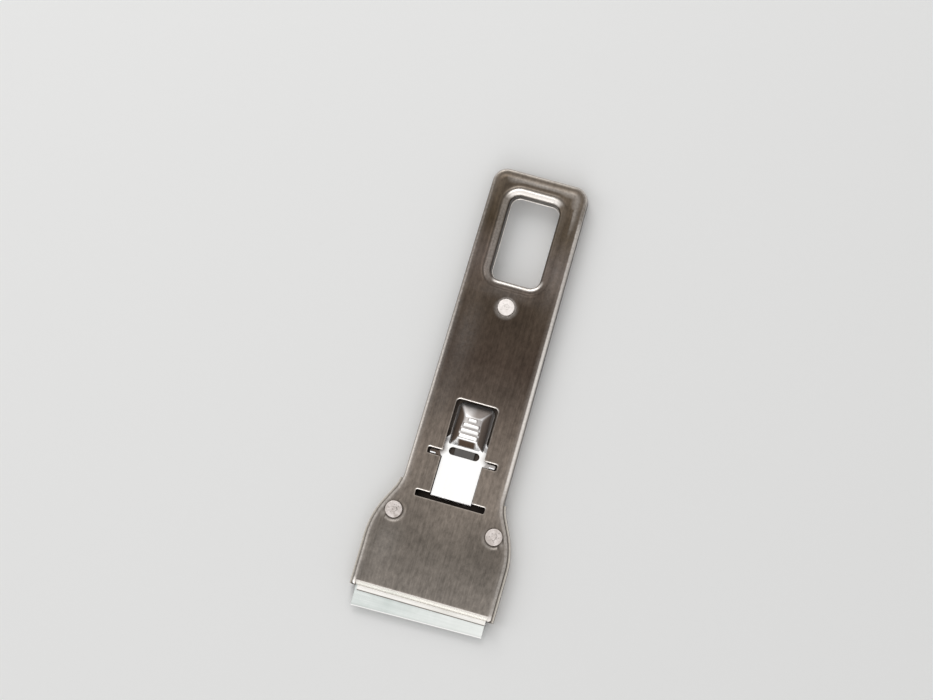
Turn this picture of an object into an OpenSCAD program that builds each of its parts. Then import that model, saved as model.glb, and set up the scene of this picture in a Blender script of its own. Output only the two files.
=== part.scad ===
// Ceramic hob scraper: two stamped sheet-steel covers riveted together round a sliding blade carrier.
// It lies on its back cover: X runs across it, +Y towards the hanging hole, +Z out of its front face.
// While it is built, Y = 0 is the mouth where the blade comes out; each piece is centred along Y at the end.

/* [Covers] */
// Length of the covers from the mouth to the end of the handle
body_length = 131.8; // [115:1:150]
// Thickness over both covers
body_thickness = 5; // [4.8:0.1:6]
// Thickness of the sheet that the covers are stamped from
sheet = 0.6; // [0.5:0.05:0.65]
// Outer radius of the bends between the covers' faces and their rims
edge_radius = 1.0; // [0.8:0.1:1.2]
// Width of the front cover at the handle's end
handle_end_width = 29.1; // [27:0.5:32]
// Width of the front cover where the handle meets the shoulders
handle_root_width = 30.9; // [30:0.5:33]
// Room between each end of the blade and the side of the head, outside the rim
blade_side_room = 1.4; // [1.3:0.05:3]
// Height above the mouth at which the handle's sides turn out to the shoulders
shoulder_top_y = 33.0; // [32:0.5:36]
// Height above the mouth at which the shoulders turn down into the head's sides
shoulder_low_y = 21.1; // [19:0.5:22]
// Radius of the handle's end corners, seen from the front
handle_corner_radius = 4.4; // [3:0.2:6]
// Radius of the hollow turn between the handle and a shoulder
shoulder_hollow_radius = 12; // [8:1:16]
// Radius of the round turn between a shoulder and the head's side
shoulder_round_radius = 25; // [15:1:26]
// Radius of the covers' corners beside the mouth
mouth_corner_radius = 1.0; // [0.8:0.1:1.2]
// Gap between the front cover and the back cover where one nests in the other
nest_gap = 0.1; // [0.05:0.01:0.15]
// Height of the back cover's turned-up edge inside the handle
inner_rim_height = 2.0; // [1.6:0.1:2.4]
// How far the back cover's outer rim on the head stays below the front face
outer_rim_drop = 1.2; // [1.1:0.1:1.6]

/* [Mouth lip] */
// Slope of the front cover's lip, which is pressed down towards the blade
lip_angle = 60; // [50:1:65]
// Gap between the lip's lower edge and the clamp plate
lip_gap = 0.35; // [0.2:0.05:0.5]
// Slit that frees each end of the lip from the rim
lip_relief = 0.4; // [0.3:0.05:0.6]

/* [Hanging hole] */
// Clear width of the hanging hole
hole_width = 15.2; // [12:0.2:17]
// Clear length of the hanging hole
hole_length = 25.9; // [18:0.5:28]
// Corner radius of the hanging hole
hole_corner_radius = 3.0; // [2.5:0.1:4]
// Distance from the handle's end to the hanging hole
hole_end_distance = 7.3; // [6:0.1:9]
// Outer radius of the rolled bead round the hanging hole
bead_radius = 1.35; // [1.2:0.05:1.5]
// Height of the bead's crest above the front face
bead_height = 1.0; // [0.8:0.05:1.15]

/* [Slide window] */
// Width of the window that the thumb slide runs in
window_width = 12.8; // [12:0.1:14]
// Height of the window's lower edge above the mouth
window_low_y = 30.1; // [29.8:0.1:31]
// Corner radius at the window's upper end
window_corner_radius = 1.2; // [0.8:0.1:1.6]
// Free space between the window's upper end and the thumb slide
window_end_gap = 0.4; // [0.3:0.05:0.8]
// Travel of the slide from the working notches to the blade-change notches
slide_travel = 13.2; // [12.4:0.1:13.6]
// Distance from the middle of the window to the end of a notch
notch_reach = 10.7; // [10.3:0.1:11.5]
// Height of a notch along the travel
notch_height = 1.95; // [1.7:0.05:2.2]
// Corner radius of a notch
notch_corner_radius = 0.5; // [0.3:0.05:0.7]

/* [Rivets] */
// Diameter of the large rivets' flat heads
rivet_head_d = 5.1; // [4.6:0.1:5.2]
// Height of a large rivet's head above its seat
rivet_head_height = 0.7; // [0.55:0.05:0.9]
// Diameter of the large rivets' shanks
rivet_shank_d = 3.0; // [2.6:0.1:3.4]
// Distance from the hanging hole's lower end to the handle rivet
handle_rivet_distance = 7.4; // [7:0.1:20]
// Distance of each shoulder rivet from the middle, as a share of the head's width
shoulder_rivet_share = 0.361; // [0.355:0.001:0.365]
// Height of the shoulder rivets above the mouth
shoulder_rivet_y = 24.4; // [24:0.1:25]
// Depth of the pressed seat under each rivet head in the front cover
front_seat_depth = 0.35; // [0.2:0.05:0.5]
// Depth of the pressed seat under each closing head in the back cover
back_seat_depth = 0.55; // [0.5:0.05:0.65]
// Ring of bare seat left round each rivet head
seat_ring = 0.12; // [0.05:0.01:0.2]
// Outer diameter of the spacer tubes between the covers
spacer_d = 5.0; // [4.6:0.1:5.2]
// Play of a rivet's shank in the holes and tubes that it passes through
rivet_play = 0.05; // [0.03:0.01:0.1]

/* [Blade] */
// Length of the replaceable blade's cutting edge
blade_width = 40; // [38:0.5:40]
// Depth of the blade from its edge to its back
blade_depth = 22; // [20:0.5:22]
// Thickness of the blade
blade_thickness = 0.25; // [0.2:0.01:0.3]
// Play of the blade between the carrier and the clamp plate
blade_play = 0.02; // [0.01:0.01:0.05]
// How far the cutting edge stands out of the mouth
blade_reach = 5.8; // [5.4:0.1:6.5]
// Width of the ground bevel along the cutting edge
blade_bevel = 0.7; // [0.5:0.05:1]
// How far the blade sits to the left of the middle
blade_offset = 0.5; // [0:0.05:0.55]
// How far the blade is turned in its clamp
blade_skew = 0.5; // [0:0.1:0.5]

/* [Blade carrier] */
// Gap between each side of the carrier and the inner face of the head's rim
carrier_side_gap = 1.0; // [0.9:0.1:1.8]
// Thickness of the carrier
carrier_thickness = 0.6; // [0.5:0.05:0.7]
// Thickness of the clamp plate
clamp_thickness = 0.5; // [0.4:0.05:0.6]
// How far the clamp plate's lip stands out of the mouth
clamp_reach = 1.4; // [1:0.1:2]
// How far the carrier stands out of the mouth under the blade
carrier_reach = 0.9; // [0.5:0.1:1]
// Running gap between the carrier and the back cover
running_gap = 0.1; // [0.05:0.01:0.12]
// Gap between the carrier's neck and the seats of the shoulder rivets
neck_gap = 0.3; // [0.2:0.05:0.5]
// Corner radius of the carrier and the clamp plate
plate_corner_radius = 1.5; // [1:0.1:2.5]
// Distance of each clamp rivet from the middle
clamp_rivet_x = 7.5; // [6:0.1:8]
// Diameter of the small rivets' heads
small_head_d = 2.8; // [2.4:0.1:3.2]
// Diameter of the small rivets' shanks
small_shank_d = 1.6; // [1.4:0.05:1.8]
// Height of the small rivets' upper heads
small_head_height = 0.5; // [0.4:0.05:0.6]

/* [Thumb slide] */
// Thickness of the thumb slide's sheet
slide_thickness = 0.5; // [0.4:0.05:0.55]
// Gap between the thumb slide's plate and each side of the window
slide_side_gap = 0.22; // [0.15:0.01:0.3]
// Gap between the latched thumb slide and the front cover's inner face
slide_rub_gap = 0.06; // [0.05:0.01:0.1]
// Distance from the window's lower edge to the thumb slide's turned-down end
slide_low_gap = 1.1; // [0.8:0.1:1.4]
// Length of the thumb slide's flat plate below the pad
slide_plate_length = 16.4; // [16:0.1:16.6]
// Length of the pressed thumb pad
pad_length = 13.0; // [12:0.1:13.2]
// Half width of the pad at its foot
pad_foot_half_width = 5.1; // [4.8:0.1:5.2]
// Half width of the pad at its crown
pad_crown_half_width = 2.7; // [2.2:0.1:3]
// Rise of the pad above the thumb slide's plate
pad_rise = 3.6; // [3:0.1:4]
// Distance between the grip ridges
ridge_pitch = 1.7; // [1.5:0.05:1.75]
// Radius of the grip ridges
ridge_radius = 0.6; // [0.5:0.05:0.7]
// Length of the long hole below the pad
long_hole_length = 9.4; // [8:0.1:10]
// Width of the long hole below the pad
long_hole_width = 2.4; // [2:0.1:2.6]
// Distance from the middle to the outer end of a latch hook
hook_reach = 10.0; // [9.6:0.1:10.1]
// Length of each latch hook across the slide
hook_length = 1.8; // [1.4:0.1:2.2]
// Depth of the latched hooks below the front face
hook_drop = 0.05; // [0.05:0.05:0.2]
// Gap between the pressed-down hooks and the front cover's inner face
hook_clearance = 0.07; // [0.05:0.01:0.1]
// Width of each hinge tab
tab_width = 2.0; // [1.6:0.1:2.4]
// Distance of each hinge tab from the middle
tab_x = 4.2; // [3.8:0.1:4.6]
// Gap round a hinge tab in its slot in the carrier
tab_gap = 0.15; // [0.1:0.01:0.25]

/* [Return spring] */
// Thickness of the spring strip
spring_thickness = 0.3; // [0.2:0.05:0.35]
// Width of the spring strip
spring_width = 6; // [5:0.5:6.4]
// Distance from the thumb slide's turned-down end to the spring's foot
spring_start = 2.2; // [2:0.1:2.6]
// Length of the spring's foot, which is riveted to the carrier
spring_foot_length = 5.2; // [4.8:0.1:5.6]
// Length of the spring's slope from its foot to its crest
spring_slope_length = 8.6; // [8:0.1:9]
// Length of the spring's turned-down tip past its crest
spring_tip_length = 2; // [1.5:0.1:2.2]
// Radius of the spring's bend at its foot
spring_bend_radius = 5; // [3:0.5:6]
// Gap left between the spring's crest and the thumb slide
spring_gap = 0.03; // [0.02:0.01:0.1]

/* [Hidden] */
$fn = 96;

steel = [0.47, 0.43, 0.40];
dark_steel = [0.36, 0.33, 0.31];
rivet_white = [0.90, 0.89, 0.86];
bright = [0.93, 0.93, 0.92];
blade_grey = [0.86, 0.90, 0.88];

// How far a cut runs past the faces that it opens, and how far a bent edge reaches into its flat face
past = 1;
tongue = 0.3;
// Turn of each facet round a cover's corners, and number of facets across its bend
arc_step = 10;
bend_steps = 4;

// Heights of the front cover's inner face and of the sliding pieces, from the back cover up
front_inner_z = body_thickness - sheet;
carrier_z = sheet + running_gap;
blade_z = carrier_z + carrier_thickness;
neck_z = carrier_z + blade_thickness + blade_play;
clamp_z = blade_z + blade_thickness + blade_play;
clamp_top_z = clamp_z + clamp_thickness;
slide_top_z = front_inner_z - slide_rub_gap;
slide_z = slide_top_z - slide_thickness;

// Widths that follow the blade's
head_width = blade_width + 2 * blade_side_room;
carrier_width = head_width - 2 * (sheet + carrier_side_gap);
shoulder_rivet_x = shoulder_rivet_share * head_width;

// Corners of the front cover's outline, counter-clockwise, each [x, y, radius], with hollow turns negative
body = [
    [-head_width / 2, 0, 0],
    [head_width / 2, 0, 0],
    [head_width / 2, shoulder_low_y, shoulder_round_radius],
    [handle_root_width / 2, shoulder_top_y, -shoulder_hollow_radius],
    [handle_end_width / 2, body_length, handle_corner_radius],
    [-handle_end_width / 2, body_length, handle_corner_radius],
    [-handle_root_width / 2, shoulder_top_y, -shoulder_hollow_radius],
    [-head_width / 2, shoulder_low_y, shoulder_round_radius]];

// Where the back cover's edge changes from inside the handle's rim to outside the head's rim
swap_y = shoulder_top_y + 1.5;
nest = sheet + nest_gap;
head_rim_z = nest + 0.18;

// Corners of the hanging hole, and the rolled bead round it
hole_high_y = body_length - hole_end_distance;
hole_low_y = hole_high_y - hole_length;
hole_corners = [
    [-hole_width / 2, hole_low_y, hole_corner_radius],
    [hole_width / 2, hole_low_y, hole_corner_radius],
    [hole_width / 2, hole_high_y, hole_corner_radius],
    [-hole_width / 2, hole_high_y, hole_corner_radius]];
bead_z = body_thickness + bead_height - bead_radius;
bead_foot = bead_radius + sqrt(bead_radius * bead_radius - pow(body_thickness - bead_z, 2));
collar_low_z = sheet / 2;

// Rivet seats
handle_rivet_y = hole_low_y - handle_rivet_distance;
rivet_places = [[0, handle_rivet_y], [-shoulder_rivet_x, shoulder_rivet_y],
    [shoulder_rivet_x, shoulder_rivet_y]];
seat_floor_r = rivet_head_d / 2 + seat_ring;
seat_top_r = seat_floor_r + 0.2;
seat_cup_r = seat_top_r + 0.2;
rivet_hole_r = rivet_shank_d / 2 + rivet_play;
front_seat_z = body_thickness - front_seat_depth;
closing_head_height = back_seat_depth - 0.05;

// Carrier outline, kept clear of the spacers and their seats
neck_half_width = shoulder_rivet_x - seat_cup_r - neck_gap;
carrier_rear_y = shoulder_rivet_y - seat_cup_r - neck_gap;
blade_back_y = blade_depth - blade_reach;
clamp_rivet_y = shoulder_rivet_y + 1.2;
blade_step_y = blade_back_y + 0.15 + blade_width / 2 * sin(blade_skew);

// Thumb slide along its travel, from its turned-down end to the end of its pad's flange
slide_low_y = window_low_y + slide_low_gap;
slide_half_width = window_width / 2 - slide_side_gap;
pad_low_y = slide_low_y + slide_plate_length;
pad_high_y = pad_low_y + pad_length;
slide_end_y = pad_high_y + 0.3;
window_high_y = slide_end_y + window_end_gap;
long_hole_y = pad_low_y - 1.9;
ridge_low_y = pad_low_y + 2.8;
ridge_count = 4;
pad_flank_y = ridge_low_y + (ridge_count - 1) * ridge_pitch + ridge_radius + 0.4;

// Notches in the window's sides, and the hooks that latch in the upper pair
upper_notch_y = window_low_y + slide_travel + notch_height / 2;
hook_y = upper_notch_y - 0.6;
hook_top_z = body_thickness - hook_drop;

// The thumb slide is shown pressed down just far enough for its hooks to pass under the front cover
pivot_y = slide_low_y + slide_thickness / 2;
pivot_z = neck_z + carrier_thickness / 2;
press_angle = asin((hook_top_z - front_inner_z + hook_clearance) / (hook_y - pivot_y));
neck_end_y = hook_y + 8;

// Return spring: foot on the carrier's neck, crest just under the pressed-down thumb slide
spring_foot_y = slide_low_y + spring_start;
spring_rivet_y = spring_foot_y + spring_foot_length * 11 / 26;
spring_bend_y = spring_foot_y + spring_foot_length;
spring_crest_y = spring_bend_y + spring_slope_length;
spring_crest_z = slide_z - (spring_crest_y - pivot_y) * sin(press_angle) - spring_gap - spring_thickness;

// The whole scraper's middle along Y, from the blade's edge to the handle's end
blade_low_y = blade_back_y - blade_depth / 2 * (1 + cos(blade_skew)) - blade_width / 2 * sin(blade_skew);
origin_y = (body_length + blade_low_y) / 2;

// Unit vector of a corner list's edge i, and the normal to its left
function edge(c, i) = let (v = [for (k = [0, 1]) c[(i + 1) % len(c)][k] - c[i % len(c)][k]]) v / norm(v);
function inward(c, i) = [-edge(c, i)[1], edge(c, i)[0]];
// Point where the edges with the normals a and b meet after both have moved d to the left
function shifted(p, a, b, d) = [p[0], p[1]] + d * (a + b) / (1 + a * b);
function moved(c, i, d) = shifted(c[i], inward(c, i + len(c) - 1), inward(c, i), d);
// Centre of a corner's arc, and its tangent points on the edges before and after, for the outline inset by d
function arc_centre(c, i) = moved(c, i, c[i][2]);
function before(c, i, d) = arc_centre(c, i) - inward(c, i + len(c) - 1) * (c[i][2] - d);
function after(c, i, d) = arc_centre(c, i) - inward(c, i) * (c[i][2] - d);
// Corner list with every edge moved d inward
function inset(c, d) = [for (i = [0 : len(c) - 1]) concat(moved(c, i, d), c[i][2] == 0 ? 0 : c[i][2] - d)];
// Corner list of a strip t thick to the left of the open path c
function strip(c, t) = concat(c, [for (k = [1 : len(c)]) let (i = len(c) - k)
    concat(shifted(c[i], inward(c, max(i - 1, 0)), inward(c, min(i, len(c) - 2)), t),
        c[i][2] == 0 ? 0 : t - c[i][2])]);

// Flat outline with true arcs at its corners, inset by d
module outline(c, d = 0) {
    difference() {
        union() {
            polygon([for (i = [0 : len(c) - 1]) each c[i][2] == 0 ? [moved(c, i, d)]
                : [before(c, i, d), after(c, i, d)]]);
            for (i = [0 : len(c) - 1]) if (c[i][2] > 0) intersection() {
                translate(arc_centre(c, i)) circle(r = c[i][2] - d);
                polygon([before(c, i, d), moved(c, i, d), after(c, i, d)]);
            }
        }
        for (i = [0 : len(c) - 1]) if (c[i][2] < 0)
            translate(arc_centre(c, i)) circle(r = d - c[i][2]);
    }
}

// Points round corner i for the outline moved d inward
function arc_points(c, i, d) = let (
    m = inward(c, i + len(c) - 1),
    swing = acos(m * inward(c, i)) * (c[i][2] > 0 ? 1 : -1),
    v = before(c, i, d) - arc_centre(c, i),
    steps = ceil(abs(swing) / arc_step))
    [for (k = [0 : steps]) let (a = swing * k / steps)
        arc_centre(c, i) + [v[0] * cos(a) - v[1] * sin(a), v[0] * sin(a) + v[1] * cos(a)]];
// Path at inset d round corners first to last; beside the mouth it ends on the mouth corner's round
function mouth_end(d) = d < mouth_corner_radius
    ? mouth_corner_radius - sqrt(pow(mouth_corner_radius, 2) - pow(mouth_corner_radius - d, 2)) : 0;
function rim_path(c, d, first, last) = concat(
    first > 2 ? [] : [[c[1][0] - d, c[1][1] + mouth_end(d)]],
    [for (i = [first : last]) each arc_points(c, i, d)],
    last < len(c) - 1 ? [] : [[c[0][0] + d, c[0][1] + mouth_end(d)]]);
// Corner list with its first two corners, which lie beside the mouth, moved to y
function opened(c, y) = [for (i = [0 : len(c) - 1]) i < 2 ? [c[i][0], y, 0] : c[i]];

// Section of a bent edge as [distance inward, height]: rim, bend and a tongue that reaches into the face
function bend_points(r) = [for (k = [0 : bend_steps]) let (a = 90 * k / bend_steps)
    [edge_radius - r * cos(a), body_thickness - edge_radius + r * sin(a)]];
function bent_edge(low_z) = concat([[0, low_z]], bend_points(edge_radius),
    [[edge_radius + tongue, body_thickness], [edge_radius + tongue, front_inner_z]],
    [for (k = [bend_steps : -1 : 0]) bend_points(edge_radius - sheet)[k]], [[sheet, low_z]]);

// Bent edge carried round the corners first to last of a cover
module rim(c, low_z, first, last) {
    section = bent_edge(low_z);
    m = len(section);
    paths = [for (p = section) rim_path(c, p[0], first, last)];
    n = len(paths[0]);
    polyhedron(
        points = [for (j = [0 : n - 1], k = [0 : m - 1]) concat(paths[k][j], section[k][1])],
        faces = concat(
            [for (j = [0 : n - 2], k = [0 : m - 1])
                [j * m + k, j * m + (k + 1) % m, (j + 1) * m + (k + 1) % m, (j + 1) * m + k]],
            [for (k = [0 : m / 2 - 2]) [m - 1 - k, m - 2 - k, k + 1, k]],
            [for (k = [0 : m / 2 - 2]) [for (v = [k, k + 1, m - 2 - k, m - 1 - k]) (n - 1) * m + v]]));
}

// Flat face of a cover with an open mouth, reaching into its bent edge
module face(c) {
    lap = edge_radius + tongue / 2;
    translate([0, 0, front_inner_z]) linear_extrude(sheet) outline(opened(c, c[0][1] - lap), lap);
}

// Carries a section round a closed outline of convex corners, with x inward and y upward
module carry(c) {
    for (i = [0 : len(c) - 1]) {
        n = inward(c, i);
        e = edge(c, i);
        a = after(c, i, 0);
        m = inward(c, i + len(c) - 1);
        multmatrix([[n[0], 0, e[0], a[0]], [n[1], 0, e[1], a[1]], [0, 1, 0, 0]])
            linear_extrude(norm(before(c, (i + 1) % len(c), 0) - a)) children();
        translate(arc_centre(c, i)) rotate(atan2(-m[1], -m[0])) rotate_extrude(angle = acos(m * n))
            translate([c[i][2], 0]) mirror([1, 0]) children();
    }
}

// Prism along X over a side view drawn with y as its x and z as its y
module across(half_width) {
    rotate([90, 0, 90]) translate([0, 0, -half_width]) linear_extrude(2 * half_width) children();
}

// Plan of the window with its two pairs of notches
module window_plan() {
    r = window_corner_radius;
    translate([-window_width / 2, window_low_y]) square([window_width, window_high_y - r - window_low_y]);
    translate([r - window_width / 2, window_high_y - r - past]) square([window_width - 2 * r, r + past]);
    for (s = [-1, 1]) translate([s * (window_width / 2 - r), window_high_y - r]) circle(r = r);
    notch_plan(window_low_y + notch_height / 2);
    notch_plan(upper_notch_y);
}

module notch_plan(y) {
    r = notch_corner_radius;
    translate([-notch_reach, y - notch_height / 2 + r]) square([2 * notch_reach, notch_height - 2 * r]);
    translate([r - notch_reach, y - notch_height / 2]) square([2 * (notch_reach - r), notch_height]);
    for (s = [-1, 1], t = [-1, 1])
        translate([s * (notch_reach - r), y + t * (notch_height / 2 - r)]) circle(r = r);
}

// Pressed seat for a rivet head: a ring of sheet set into the face at z, where up is 1 or -1
module seat_cup(z, depth, up) {
    translate([0, 0, z]) rotate_extrude() polygon([
        [rivet_hole_r, -up * depth],
        [seat_floor_r, -up * depth],
        [seat_top_r, 0],
        [seat_cup_r, 0],
        [seat_cup_r, -up * sheet],
        [seat_floor_r + 0.15, -up * (depth + sheet)],
        [rivet_hole_r, -up * (depth + sheet)]]);
}

// Lip at the mouth: the face's end turned down by lip_angle, free of the rim at both ends
lip_bend = 0.4;
lip_low_z = clamp_top_z + lip_gap;
lip_height = front_inner_z - lip_low_z;
lip_corner_y = 0.1 + sheet * sin(lip_angle) + lip_height / tan(lip_angle);
lip_half_width = head_width / 2 - edge_radius - lip_relief / 2;

module mouth_lip() {
    across(lip_half_width) outline(strip([
        [lip_corner_y - lip_height / tan(lip_angle), lip_low_z, 0],
        [lip_corner_y, front_inner_z, -lip_bend],
        [lip_corner_y + 1.2, front_inner_z, 0]], sheet));
}

// Section of the rolled bead and the drawn collar below it; x is negative away from the hanging hole
module bead_section() {
    difference() {
        union() {
            intersection() {
                translate([-bead_radius, bead_z]) circle(r = bead_radius);
                translate([-2 * bead_radius, bead_z]) square(2 * bead_radius);
            }
            translate([-bead_foot - 0.4, front_inner_z]) square([bead_foot + 0.4 - bead_radius, sheet]);
        }
        translate([-bead_radius, bead_z]) circle(r = bead_radius - sheet);
        translate([sheet - 2 * bead_radius, 0]) square([2 * (bead_radius - sheet), bead_z]);
    }
    translate([-sheet, collar_low_z]) square([sheet, bead_z - collar_low_z]);
}

// Front cover: face, rim, pressed rivet seats, lip, beaded hole and the notched window
module front_cover() {
    color(steel) difference() {
        union() {
            difference() {
                union() {
                    face(body);
                    rim(body, nest_gap, 2, 7);
                }
                translate([-head_width, -past, -past]) cube([2 * head_width, swap_y + past, head_rim_z + past]);
                translate([-lip_half_width - lip_relief, -past, front_inner_z - past])
                    cube([2 * (lip_half_width + lip_relief), past + lip_corner_y + 0.9, sheet + 2 * past]);
                translate([0, 0, front_inner_z - past]) linear_extrude(sheet + 2 * past)
                    outline(hole_corners, -bead_foot - 0.2);
                for (p = rivet_places) translate([p[0], p[1], front_inner_z - past])
                    cylinder(r = seat_top_r + 0.1, h = sheet + 2 * past);
            }
            mouth_lip();
            carry(hole_corners) bead_section();
            for (p = rivet_places) translate(p) seat_cup(body_thickness, front_seat_depth, 1);
        }
        translate([0, 0, front_inner_z - past]) linear_extrude(sheet + 2 * past) window_plan();
    }
}

// Turns a face and its bent edge over, so that the face lies at the back
module turned() {
    translate([0, 0, body_thickness]) mirror([0, 0, 1]) children();
}

// Back cover: its edge stands inside the front rim along the handle and outside it round the head
module back_cover() {
    wide = opened(inset(body, -nest), 0);
    narrow = opened(inset(body, nest), 0);
    color(dark_steel) difference() {
        union() {
            difference() {
                union() {
                    intersection() {
                        turned() {
                            face(narrow);
                            rim(narrow, body_thickness - inner_rim_height, 3, 6);
                        }
                        translate([-head_width, swap_y - sheet, -past])
                            cube([2 * head_width, body_length, body_thickness]);
                    }
                    intersection() {
                        turned() {
                            face(wide);
                            rim(wide, outer_rim_drop, 2, 3);
                            rim(wide, outer_rim_drop, 6, 7);
                        }
                        translate([-head_width, -past, -past])
                            cube([2 * head_width, past + swap_y - nest_gap, body_thickness + past]);
                    }
                }
                for (p = rivet_places) translate([p[0], p[1], -past])
                    cylinder(r = seat_top_r + 0.1, h = sheet + 2 * past);
            }
            for (p = rivet_places) translate(p) seat_cup(0, back_seat_depth, -1);
        }
        translate([0, 0, -past]) linear_extrude(sheet + 2 * past) outline(hole_corners, -nest);
    }
}

// Rivet with a flat front head, a shank through both covers and a closing head flush with the back
module rivet(p) {
    bevel = 0.15;
    r = rivet_head_d / 2;
    color(rivet_white) translate(p) {
        translate([0, 0, front_seat_z]) rotate_extrude() polygon([
            [0, 0],
            [r, 0],
            [r, rivet_head_height - bevel],
            [r - bevel, rivet_head_height],
            [0, rivet_head_height]]);
        translate([0, 0, back_seat_depth]) cylinder(d = rivet_shank_d, h = front_seat_z - back_seat_depth);
        translate([0, 0, back_seat_depth - closing_head_height]) cylinder(r = r - 0.1, h = closing_head_height);
    }
}

// Tube between the seats of the two covers, round a rivet's shank
module spacer(p) {
    low = sheet + back_seat_depth;
    high = front_seat_z - sheet;
    color(dark_steel) translate([p[0], p[1], low]) difference() {
        cylinder(d = spacer_d, h = high - low);
        translate([0, 0, -past]) cylinder(r = rivet_hole_r, h = high - low + 2 * past);
    }
}

module handle_rivet() { rivet(rivet_places[0]); }
module left_shoulder_rivet() { rivet(rivet_places[1]); }
module right_shoulder_rivet() { rivet(rivet_places[2]); }
module handle_spacer() { spacer(rivet_places[0]); }
module left_shoulder_spacer() { spacer(rivet_places[1]); }
module right_shoulder_spacer() { spacer(rivet_places[2]); }

// Plan of a plate behind the blade: a wide part from low_y up and a narrower tail to tail_y
module plate_plan(low_y, tail_half_width, tail_y) {
    half = carrier_width / 2;
    outline([
        [-half, low_y, 0.4],
        [half, low_y, 0.4],
        [half, carrier_rear_y, plate_corner_radius],
        [tail_half_width, carrier_rear_y, -plate_corner_radius],
        [tail_half_width, tail_y, plate_corner_radius],
        [-tail_half_width, tail_y, plate_corner_radius],
        [-tail_half_width, carrier_rear_y, -plate_corner_radius],
        [-half, carrier_rear_y, plate_corner_radius]]);
}

// Carrier: its wide part lies under the blade, and a step as high as the blade stops the blade's back
module blade_carrier() {
    low_y = -carrier_reach - past;
    high_y = neck_end_y + past;
    ramp = 0.6;
    color(bright) difference() {
        intersection() {
            translate([0, 0, carrier_z - past]) linear_extrude(body_thickness)
                plate_plan(-carrier_reach, neck_half_width, neck_end_y);
            across(carrier_width) polygon([
                [low_y, carrier_z],
                [blade_step_y + ramp, carrier_z],
                [blade_step_y + 2 * ramp, neck_z],
                [high_y, neck_z],
                [high_y, clamp_z],
                [blade_step_y, clamp_z],
                [blade_step_y, blade_z],
                [low_y, blade_z]]);
        }
        for (s = [-1, 1]) {
            translate([s * tab_x - tab_width / 2 - tab_gap, slide_low_y - tab_gap, 0])
                cube([tab_width + 2 * tab_gap, slide_thickness + 2 * tab_gap, body_thickness]);
            translate([s * clamp_rivet_x, clamp_rivet_y, 0]) cylinder(d = small_shank_d, h = body_thickness);
        }
        translate([0, spring_rivet_y, 0]) cylinder(d = small_shank_d, h = body_thickness);
    }
}

// Clamp plate: presses on the blade from above, with its front edge showing under the mouth
module blade_clamp() {
    color(bright) difference() {
        translate([0, 0, clamp_z]) linear_extrude(clamp_thickness) plate_plan(-clamp_reach,
            clamp_rivet_x + small_head_d / 2 + 1, clamp_rivet_y + small_head_d / 2 + 1.2);
        for (s = [-1, 1]) translate([s * clamp_rivet_x, clamp_rivet_y, 0])
            cylinder(d = small_shank_d, h = body_thickness);
    }
}

// Small rivet through the carrier's neck and whatever lies on it up to top_z
module small_rivet(x, y, top_z) {
    foot = 0.2;
    r = small_head_d / 2;
    color(rivet_white) translate([x, y, 0]) {
        translate([0, 0, neck_z - foot]) cylinder(r = r, h = foot);
        translate([0, 0, neck_z]) cylinder(d = small_shank_d, h = top_z - neck_z);
        translate([0, 0, top_z]) cylinder(r1 = r, r2 = r - 0.4, h = small_head_height);
    }
}

module left_clamp_rivet() { small_rivet(-clamp_rivet_x, clamp_rivet_y, clamp_top_z); }
module right_clamp_rivet() { small_rivet(clamp_rivet_x, clamp_rivet_y, clamp_top_z); }
module spring_rivet() { small_rivet(0, spring_rivet_y, clamp_z + spring_thickness); }

// Return spring: a strip riveted to the carrier that lifts the thumb slide
module return_spring() {
    color(dark_steel) difference() {
        across(spring_width / 2) outline(strip([
            [spring_foot_y, clamp_z, 0],
            [spring_bend_y, clamp_z, spring_bend_radius],
            [spring_crest_y, spring_crest_z, -0.6 * spring_bend_radius],
            [spring_crest_y + spring_tip_length, spring_crest_z - 0.35 * spring_tip_length, 0]],
            spring_thickness));
        translate([0, spring_rivet_y, 0]) cylinder(d = small_shank_d, h = body_thickness);
    }
}

// Plan of the thumb slide's sheet: plate, arms for the hooks, shoulders under the cover and the pad's flange
module slide_plan() {
    arm_y = hook_y - slide_thickness / 2;
    shoulder = slide_half_width + 1.2;
    flange = pad_foot_half_width + 0.5;
    half = [
        [slide_half_width, slide_low_y + 2 * slide_thickness, 0],
        [slide_half_width, arm_y, -0.3],
        [hook_reach, arm_y, 0],
        [hook_reach, arm_y + 1.3, 0.4],
        [shoulder, arm_y + 1.3, -0.3],
        [shoulder, pad_low_y + 0.8, 0.6],
        [flange, pad_low_y + 2.4, -1.2],
        [flange, slide_end_y, 2.2]];
    outline(concat(half, [for (k = [1 : len(half)]) let (p = half[len(half) - k]) [-p[0], p[1], p[2]]]));
}

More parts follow.
